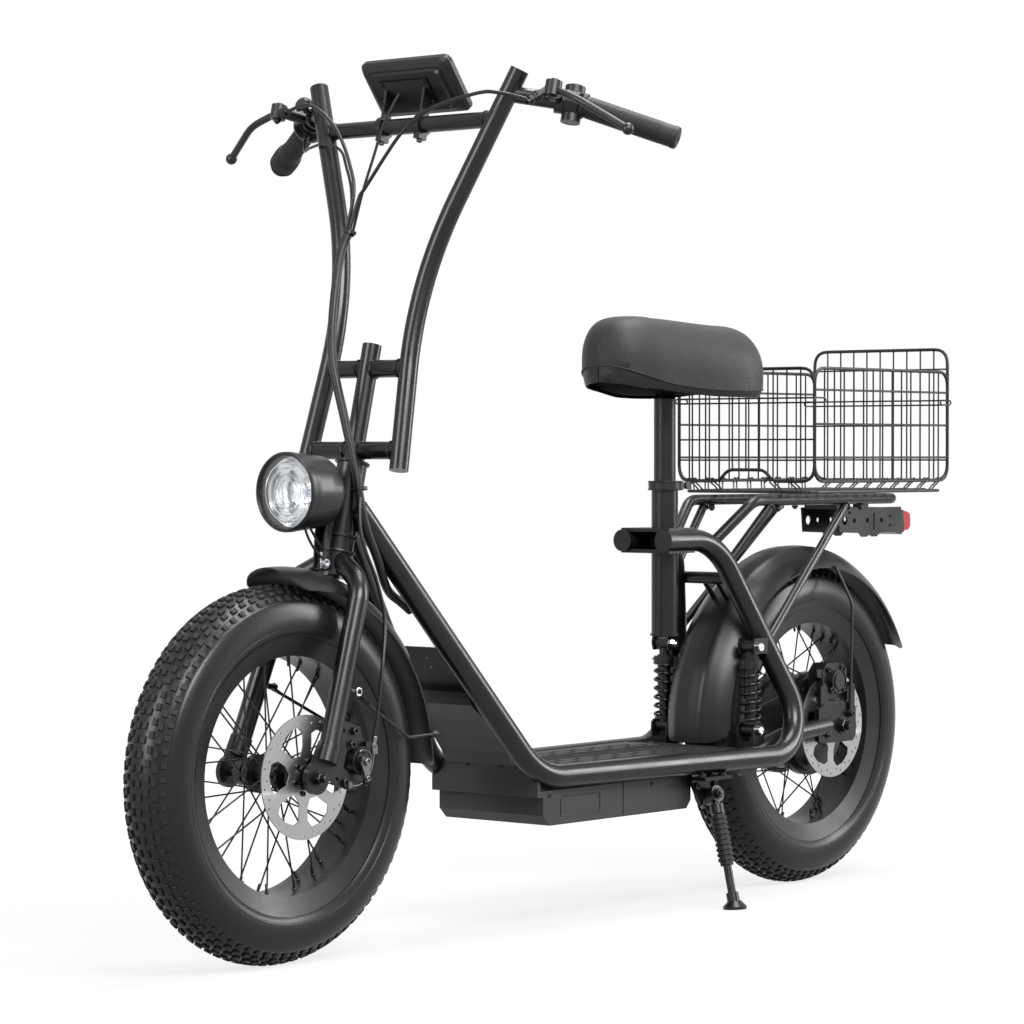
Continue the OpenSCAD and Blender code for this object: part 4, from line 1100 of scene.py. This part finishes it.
leads = Mesh()
for route in ([(523, 8, 562), (518, 10, 548), (507, 11, 533), (492, 11, 522), (476, 9, 519)],
              [(508, 2, 563), (500, 5, 549), (490, 8, 535), (474, 9, 528)]):
    leads.tube(smooth_path(route, 5), 1.7, 8)
leads.done("lamp_leads", UPRIGHT, CABLE, "steering", slot="cable_rubber")

spot, way = (486, 9.6, 515), (0.25, 1, 0.1)
bracket_bolt = Mesh()
screw(bracket_bolt, spot, way, 5.4, 4.6)
bracket_bolt.lathe([(0.01, -1.5), (7.2, -1.5), (7.2, 0), (0.01, 0)], 24, facing(spot, way))
bracket_bolt.box((470, 5.5, 508), (492, 8, 530), 0.8)
bracket_bolt.done("lamp_bracket_bolt", UPRIGHT, ZINC, "steering", smooth=False)
print("lamp faces:", len(bezel.faces) + len(lens_rings.faces) + len(groove.faces) + len(leads.faces))

# %% [markdown]
# The disc brake is worked by a bare inner cable. It leaves a barrel adjuster on its stop, bends round the
# arm and ends in a pinch bolt. These small parts are plated in dull zinc, which stands out from the black
# caliper. The fender's stays end in bright eyes beside it.

# %% Front brake fittings
brake_parts = Mesh()
brake_parts.lathe([(0.01, 0), (4.4, 0), (4.4, 3), (2.9, 4), (2.9, 12), (2.4, 13), (0.01, 13)], 6,
                  facing((470, 80.2, 279), (-0.2, 0.06, 1)))
brake_parts.box((465, 76.5, 269), (474.5, 83.5, 279), 1.0)
inner_cable = [(469.5, 80.5, 270), (475, 83, 258), (484, 87, 247), (492, 90, 240.5), (499, 90.5, 238)]
brake_parts.tube(smooth_path(inner_cable, 3), 0.9, 8)
arm = [(490, 266), (503, 268), (506, 260), (499.5, 247), (499, 236), (489.5, 235.5), (489.5, 250), (486, 259)]
n = len(arm)
arm_faces = [tuple(range(n)), tuple(2 * n - 1 - k for k in range(n))]
arm_faces += [(k, (k + 1) % n, n + (k + 1) % n, n + k) for k in range(n)]
brake_parts.put([(x, y, z) for y in (87.6, 91.4) for x, z in arm], arm_faces)
screw(brake_parts, (494.5, 91.4, 240), (0, 1, 0), 3.6, 3.4)
screw(brake_parts, (495.5, 91.4, 261.5), (0, 1, 0), 5.2, 3.6)
brake_parts.tube([(496 + 14.6 * math.cos(a), 86.4, 262 + 14.6 * math.sin(a))
                  for a in [math.radians(60 + 8 * k) for k in range(24)]], 0.8, 6)
brake_parts.tube([(519, 84, 232), (508, 86, 231), (500, 87.5, 234)], 1.0, 8)
brake_parts.lathe([(0.01, -4), (3.6, -4), (3.6, 4), (0.01, 4)], 16, facing((520, 84, 233), (0, 0, 1)))
brake_parts.done("front_brake_fittings", UPRIGHT, GREY_ZINC, "steering", smooth=False)

caliper_bolts = Mesh()
for spot, r in (((512, 79.8, 284), 5.0), ((507, 79.8, 301), 5.0),
                ((525, 79.8, 236), 5.2), ((488, 80, 232), 3.6)):
    screw(caliper_bolts, spot, (0, 1, 0), r, 4.4)
for x, z in ((-1, 11), (1, -11)):
    screw(caliper_bolts, (496 + x, 85.9, 262 + z), (0, 1, 0), 2.0, 1.6)
caliper_bolts.lathe([(17.2, 82.95), (18.6, 82.95), (18.6, 84.6), (17.2, 84.6), (17.2, 82.95)], 40,
                    Matrix.Translation((496, 0, 262)) @ Matrix.Rotation(-math.pi / 2, 4, "X"))
caliper_bolts.done("caliper_bolts", UPRIGHT, BLACK_OXIDE, "steering", smooth=False)

eyes = Mesh()
for side in (-1, 1):
    eyes.tube([(494 + 4.6 * math.cos(a), side * 76.5, 350.5 + 4.6 * math.sin(a))
               for a in circle_angles(20)], 1.5, 8, closed=True)
eyes.done("stay_eyes", UPRIGHT, ZINC, "steering")
stay_bolts = Mesh()
for side in (-1, 1):
    stay_end = [(490.5, side * 76.2, 347.3), (478, side * 73.0, 338.6), (470, side * 71.0, 334.4)]
    stay_bolts.tube(stay_end, 2.0, 8)
    screw(stay_bolts, (494, side * 71, 350.5), (0, side, 0), 3.1, 7.0)
    stay_bolts.tube([(494, side * 72, 350.5), (506, side * 72, 352)], 4.2, 10)
    nut(stay_bolts, (320.5, side * 51.5, 285), (-0.7, side * 0.7, 0), 4.6, 5.2, 2.4, 3.0)
stay_bolts.done("stay_bolts", UPRIGHT, BLACK_OXIDE, "steering", smooth=False)
print("front brake faces:", len(brake_parts.faces) + len(caliper_bolts.faces))
print("fender stay faces:", len(eyes.faces) + len(stay_bolts.faces))

# %% [markdown]
# Axle nuts clamp the wheels, each on a washer. The rear ones are larger, because the motor turns against
# them. The rear caliper's bolts and a small nut on either side of the swingarm are set beside them.

# %% Axle nuts and rear brake bolts
for name, matrix, body, z, r, stud in (("front_axle_nuts", FRONT, "steering", 81.1, 8.6, 5.0),
                                       ("rear_axle_nuts", REAR, "frame", 92.3, 11.0, 6.0)):
    ends = Mesh()
    for side in (-1, 1):
        nut(ends, (0, 0, side * z), (0, 0, side), r, 8.5, stud, 7.0)
    ends.done(name, matrix, BLACK_OXIDE, body, smooth=False)

rear_bolts = Mesh()
for x, y, z, r in ((-580, 90.2, 300, 4.6), (-548, 90.2, 300, 4.6),
                   (-585, 83.9, 330, 4.0), (-549, 83.9, 330, 4.0)):
    screw(rear_bolts, (x, y, z), (0, 1, 0), r, 4.2)
for k in range(3):
    a = math.radians(30 + 120 * k)
    screw(rear_bolts, (-567 + 14.6 * math.cos(a), 91.9, 312 + 14.6 * math.sin(a)), (0, 1, 0), 1.7, 1.4)
rear_bolts.lathe([(17.2, 91.95), (18.5, 91.95), (18.5, 93.2), (17.2, 93.2), (17.2, 91.95)], 40,
                 Matrix.Translation((-567, 0, 312)) @ Matrix.Rotation(-math.pi / 2, 4, "X"))
screw(rear_bolts, (-592, 97.2, 262), (0, 1, 0), 4.2, 4.0)
for side in (-1, 1):
    nut(rear_bolts, (-536, side * 92.1, 233), (0, side, 0), 4.6, 4.6, 2.6, 2.4)
rear_bolts.done("rear_brake_bolts", UPRIGHT, BLACK_OXIDE, "frame", smooth=False)
print("rear brake faces:", len(rear_bolts.faces))

# %% [markdown]
# The deck mat is moulded rubber. Long tiles are laid like bricks on both sides, five rows of studs fill the
# strip in the middle, and a thin lip runs round the edge. Tiles and studs are set out by the row group.

# %% Deck mat
MAT_TOP, TILE_STEP, STUD_STEP = 228.0, 44.0, 8.4


def row_of(unit, name, count, step, spot):
    repeat(unit, name, IN_A_ROW, count, (step, 0.0, 0.0), MAT, UPRIGHT @ Matrix.Translation(spot), "frame")


tile, stud = Mesh(), Mesh()
tile.box((0, 0, 0), (38, 11, 1.5), 0.9)
stud.lathe([(0.01, 0), (1.7, 0), (1.5, 1.1), (0.9, 1.5), (0.01, 1.5)], 8)
tile_rows, stud_rows = (-70, -54, -38, 27, 43, 59), (-16, -8, 0, 8, 16)
for row, y in enumerate(tile_rows):
    start, count = (-268, 8) if row % 2 else (-246, 7)
    row_of(tile, "mat_tiles_%d" % row, count, TILE_STEP, (start, y, MAT_TOP - 0.4))
for row, y in enumerate(stud_rows):
    row_of(stud, "mat_studs_%d" % row, 42, STUD_STEP, (-262 + (row % 2) * STUD_STEP / 2, y, MAT_TOP - 0.1))
lip = Mesh()
edge = [(98, -81.5), (102.5, -77), (102.5, 77), (98, 81.5), (-284, 105.5), (-289.5, 100), (-289.5, -100),
        (-284, -105.5)]
lip.tube(rounded([(x, y, MAT_TOP + 0.2) for x, y in edge], 10), 1.3, 6, closed=True)
for side in (-1, 1):
    lip.tube([(92, side * 22, MAT_TOP + 0.1), (-276, side * 22, MAT_TOP + 0.1)], 0.9, 6)
lip.done("mat_lip", UPRIGHT, MAT, "frame", slot="mat_rubber")
print("mat rows:", len(tile_rows) + len(stud_rows))

# %% [markdown]
# The battery box is moulded in two shells. A seam shows on each side, a raised line frames a plain panel
# there, and screws close the front plate and the covers.

# %% Battery box and covers
seams = Mesh()
for side in (-1, 1):
    wall, raised, line = side * 94.1, side * 94.1 + side * 0.7, side * 94.1 + side * 0.2
    seams.box((-36.4, min(wall, raised), 151), (-34.4, max(wall, raised), 196.5), 0)
    panel_edge = [(18, line, 160), (18, line, 187), (104, line, 187), (104, line, 160)]
    seams.tube(rounded(panel_edge, 5), 0.7, 6, closed=True)
seams.done("box_seams", UPRIGHT, BOX, "frame")
box_screws = Mesh()
for y in (-84, -30, 30, 84):
    screw(box_screws, (156.1, y, 229), (1, 0, 0), 2.8, 1.6)
for side in (-1, 1):
    for x in (-170, -100, 128):
        screw(box_screws, (x, side * 94, 190), (0, side, 0), 2.8, 1.4)
box_screws.done("box_screws", UPRIGHT, BLACK_OXIDE, "frame", smooth=False)
print("box faces:", len(seams.faces) + len(box_screws.faces))

# %% [markdown]
# The stand folds on a bolt through a sheet bracket, and the bracket is bolted under the deck. The nut on
# the pivot moves with the stand.

# %% Side stand
FOLD = Vector((0.1275, 0.9439, 0.3045)).normalized()
PIVOT = Vector((-215, 119, 168))
pivot_nut = Mesh()
nut(pivot_nut, PIVOT + FOLD * 7.2, FOLD, 7.0, 6.5, 3.4, 2.4)
pivot_nut.done("stand_pivot_nut", UPRIGHT, BLACK_OXIDE, "side_stand", smooth=False)
bolts = Mesh()
for x in (-232, -190):
    screw(bolts, (x, 105.1, 181), (0, 1, 0), 5.0, 4.0)
for x in (-236, -186):
    nut(bolts, (x, 118, 195.1), (0, 0, 1), 4.6, 4.6, 2.6, 2.4)
bolts.done("stand_bracket_bolts", UPRIGHT, BLACK_OXIDE, "frame", smooth=False)
print("stand faces:", len(pivot_nut.faces) + len(bolts.faces))

# %% [markdown]
# The seat post is pinched by a clamp with a thin rim above and below it, and a bolt and its nut close it.
# The rack is held by small clips, and the tail light by screws, with a bright edge behind its lens.

# %% Seat post, rack and tail light fittings
SEAT_POST, CLAMP_BOLT = Matrix.Translation((-252, 0, 0)), Matrix.Translation((-281, 0, 611))
collar = Mesh()
collar.lathe([(16, 604.2), (24.3, 604.2), (24.9, 605), (24.9, 606.2), (24.3, 607), (16, 607)], 40, SEAT_POST)
collar.lathe([(16, 615), (24.3, 615), (24.9, 616), (24.9, 617), (24.3, 618), (16, 618)], 40, SEAT_POST)
nut(collar, (-281, -13.2, 611), (0, -1, 0), 5.4, 5.0, 2.6, 2.0)
collar.lathe([(0.01, 20), (6, 20), (6, 22), (0.01, 22)], 20,
             CLAMP_BOLT @ Matrix.Rotation(-math.pi / 2, 4, "X"))
collar.done("seat_collar_rims", UPRIGHT, SATIN, "frame", smooth=False)

clips = Mesh()
for side in (-1, 1):
    for x in (-450, -668):
        clips.box((x - 4, side * 62 - 4, 573), (x + 4, side * 62 + 4, 580.4), 1.2)
        screw(clips, (x, side * 62, 573), (0, 0, -1), 2.8, 2.0)
    for x, z in ((-678, 566), (-790, 560), (-790, 545)):
        screw(clips, (x, side * 35.6, z), (0, side, 0), 2.4, 1.6)
    clips.box((-748, min(side * 35.5, side * 36.9), 540), (-744, max(side * 35.5, side * 36.9), 565), 0.4)
clips.done("rack_clips", UPRIGHT, BLACK_OXIDE, "frame", smooth=False)
bevel = Mesh()
bevel.box((-836.6, -31, 538.5), (-832.6, 31, 566.5), 1.0)
bevel.done("tail_lens_bevel", UPRIGHT, ZINC, "frame")
print("clamp, clip and lens edge faces:", len(collar.faces) + len(clips.faces) + len(bevel.faces))

# %% [markdown]
# The controls carry most of the small parts. Each lever turns on a screw and its cable leaves through a
# knurled barrel with a lock ring. The grips are ribbed, and the right one swells towards its end. The
# display is held by two clamps with a screw each, and its back plate and cover by eight more.

# %% Controls
knurled = Mesh()
for end, root in (((27, 230, 1141), (4, 240, 1164)), ((29, -207, 1152), (4, -240, 1164))):
    end, root = Vector(end), Vector(root)
    way = (end - root).normalized()
    for back, r, h in ((15, 7.6, 5.0), (9, 6.9, 3.0)):
        at = facing(end - way * back, way)
        knurled.lathe([(5.2, 0), (r, 0), (r, h), (5.2, h)], 18, at)
        for k in range(12):
            turned = at @ Matrix.Rotation(k * math.pi / 6, 4, "Z")
            knurled.box((r - 0.4, -0.7, 0.4), (r + 0.5, 0.7, h - 0.4), 0, turned)
    at = facing(end, way)
    knurled.lathe([(2.6, -2), (4.6, -2), (4.2, 3.5), (3.0, 5), (2.6, 5)], 16, at)
for side in (-1, 1):
    screw(knurled, (4, side * 246, 1174), (0, 0, 1), 5.0, 3.0)
    nut(knurled, (4, side * 246, 1154), (0, 0, -1), 5.2, 4.6, 2.6, 2.0)
    screw(knurled, (-30, side * 226, 1177.5), (0.4, 0, 1), 3.0, 3.0)
knurled.done("lever_fittings", STEERING, BLACK_OXIDE, "steering", smooth=False)

bar_ends = Mesh()
GRIP_AXIS = Vector((-68, 112, -29.5)).normalized()


def grip_end(side):
    """The tip of a grip and the direction in which it points."""
    return Vector((-127, side * 357, 1132.2)), Vector((GRIP_AXIS.x, side * GRIP_AXIS.y, GRIP_AXIS.z))


for side in (-1, 1):
    tip, way = grip_end(side)
    at = facing(tip, way)
    bar_ends.lathe([(0.01, 1.6), (10, 1.6), (13.4, 0.8), (14.9, -1.0), (15.2, -6), (14.4, -7)], 32, at)
    screw(bar_ends, tip + way * 1.5, way, 3.2, 1.2)
    root = Vector((-59, side * 245, 1161.7))
    for k in range(30):
        spot = root + way * (12 + k * 3.4)
        bar_ends.lathe([(14.3, -0.9), (14.95, -0.4), (14.95, 0.4), (14.3, 0.9)], 28, facing(spot, way))
right_tip = facing(*grip_end(-1))
bulb = [(14.9, -62), (16.4, -52), (18.2, -38), (18.9, -26), (18.5, -15), (16.6, -6), (13.0, -0.5),
        (7.0, 1.9), (0.01, 2.4)]
bar_ends.lathe(bulb, 40, right_tip)
for k in range(7):
    r, z = 18.95 - 0.02 * (k - 3) ** 2 * 3, -40 + k * 5
    bar_ends.lathe([(r - 0.8, z - 1.2), (r + 0.3, z), (r - 0.8, z + 1.2)], 40, right_tip)
bar_ends.done("grip_ribs", STEERING, GRIP, "steering", slot="grip_rubber")

plate = Mesh()
tilt = UPRIGHT @ Matrix.Translation((290, -8, 1150)) @ Matrix.Rotation(math.radians(-53), 4, "Y")
for x in (-15, 15):
    for y in (-40, 34):
        screw(plate, (x, y, -15.2), (0, 0, -1), 2.8, 2.2)
for k in range(5):
    plate.box((34, -50 + k * 24, -1.8), (38.5, -40 + k * 24, -0.4), 0.3)
for x, y in ((-35, -68), (-35, 68), (35, -68), (35, 68)):
    screw(plate, (x * 0.86, y * 0.93, -5.2), (0, 0, -1), 2.2, 2.2)
plate.done("display_screws", tilt, BLACK_OXIDE, "steering", smooth=False)
clamp_bolts = Mesh()
for y in (-45, 23):
    screw(clamp_bolts, (0, y, 1110), (0, 0, -1), 3.8, 4.0)
    clamp_bolts.box((13.6, y - 5, 1129.2), (16.4, y + 5, 1130.8), 0)
clamp_bolts.done("display_clamp_bolts", STEERING, BLACK_OXIDE, "steering", smooth=False)

buttons = Mesh()
button_at = facing((-52.8, 234.5, 1186), (0, 0, 1))
for r, h in ((9.0, 2.2), (5.0, 3.6)):
    buttons.lathe([(0.01, 0), (r, 0), (r, h - 0.6), (r - 0.6, h), (0.01, h)], 28, button_at)
screw(buttons, (-37.6, 227, 1171), (1, -0.3, 0.4), 2.6, 1.6)
buttons.done("switch_buttons", STEERING, CONTROL, "steering", smooth=False)
print("control faces:", len(knurled.faces) + len(bar_ends.faces) + len(plate.faces) + len(buttons.faces))

# %% [markdown]
# The picture is a studio shot on white. The floor gives off most of the white that the camera sees and
# reflects little, so that only a soft shadow is left on it, and it brightens away from the scooter, as a
# lit paper sweep does. The backdrop is white to the camera and dim to the parts. Four large soft lamps, a
# key, a fill, a top and a rim, draw long highlights on the tubes, which is what makes black parts readable
# on white.

# %% Floor, backdrop and lamps
SEEN_FROM, SEEN_TO, WHITE = 1.0, 3.2, (1, 1, 1, 1)


def seen_directly(tree):
    """One for a ray from the camera, a mirror or a lens, and zero for the light that falls on the parts."""
    path = add(tree, "ShaderNodeLightPath")
    through = add(tree, "ShaderNodeMath", {0: path.outputs["Is Glossy Ray"],
                                           1: path.outputs["Is Transmission Ray"]}, operation="MAXIMUM")
    seen = add(tree, "ShaderNodeMath", {0: path.outputs["Is Camera Ray"], 1: through.outputs[0]},
               operation="MAXIMUM")
    return seen.outputs[0]


floor_mesh = bpy.data.meshes.new("floor")
floor_mesh.from_pydata([(-30, -30, 0), (30, -30, 0), (30, 30, 0), (-30, 30, 0)], [], [(0, 1, 2, 3)])
floor = bpy.data.objects.new("floor", floor_mesh)
bpy.context.scene.collection.objects.link(floor)
paper, tree = new_material("white_paper_floor")
matt = add(tree, "ShaderNodeBsdfDiffuse", {"Color": (0.10, 0.10, 0.10, 1)})
coords = add(tree, "ShaderNodeTexCoord")
away = add(tree, "ShaderNodeVectorMath", {0: coords.outputs["Object"]}, operation="LENGTH")
sweep = ramp(tree, away.outputs["Value"], SEEN_FROM, SEEN_TO, 0.68, 0.90)
level = add(tree, "ShaderNodeMath", {0: seen_directly(tree), 1: sweep, 2: 0.12}, operation="MULTIPLY_ADD")
glow = add(tree, "ShaderNodeEmission", {"Color": WHITE, "Strength": level.outputs[0]})
both = add(tree, "ShaderNodeAddShader")
tree.links.new(matt.outputs[0], both.inputs[0])
tree.links.new(glow.outputs[0], both.inputs[1])
add(tree, "ShaderNodeOutputMaterial", {"Surface": both.outputs[0]})
floor_mesh.materials.append(paper)

world = bpy.data.worlds.new("studio")
bpy.context.scene.world = world
world.use_nodes = True
sky = world.node_tree
sky.nodes.clear()
soft = add(sky, "ShaderNodeBackground", {"Color": WHITE, "Strength": 0.10})
blank = add(sky, "ShaderNodeBackground", {"Color": WHITE, "Strength": 1.0})
either = add(sky, "ShaderNodeMixShader", {0: seen_directly(sky)})
sky.links.new(soft.outputs[0], either.inputs[1])
sky.links.new(blank.outputs[0], either.inputs[2])
add(sky, "ShaderNodeOutputWorld", {"Surface": either.outputs[0]})

LAMPS = [("key", (1.8, 3.4, 3.2), (2.6, 1.8), 380), ("fill", (3.8, -0.6, 2.0), (1.4, 2.4), 130),
         ("top", (-0.6, 0.4, 3.6), (2.6, 1.4), 170), ("rim", (-3.2, 2.6, 1.8), (0.9, 2.6), 150)]
AIM = Vector((0, 0, 0.6))
for name, spot, size, power in LAMPS:
    lamp = bpy.data.lights.new(name, "AREA")
    lamp.shape = "RECTANGLE"
    lamp.size, lamp.size_y = size
    lamp.energy = power
    holder = bpy.data.objects.new(name, lamp)
    bpy.context.scene.collection.objects.link(holder)
    holder.location = spot
    holder.rotation_euler = (AIM - Vector(spot)).to_track_quat("-Z", "Y").to_euler()
bpy.context.scene.view_settings.view_transform = "Standard"
print("lamps:", len(bpy.data.lights))
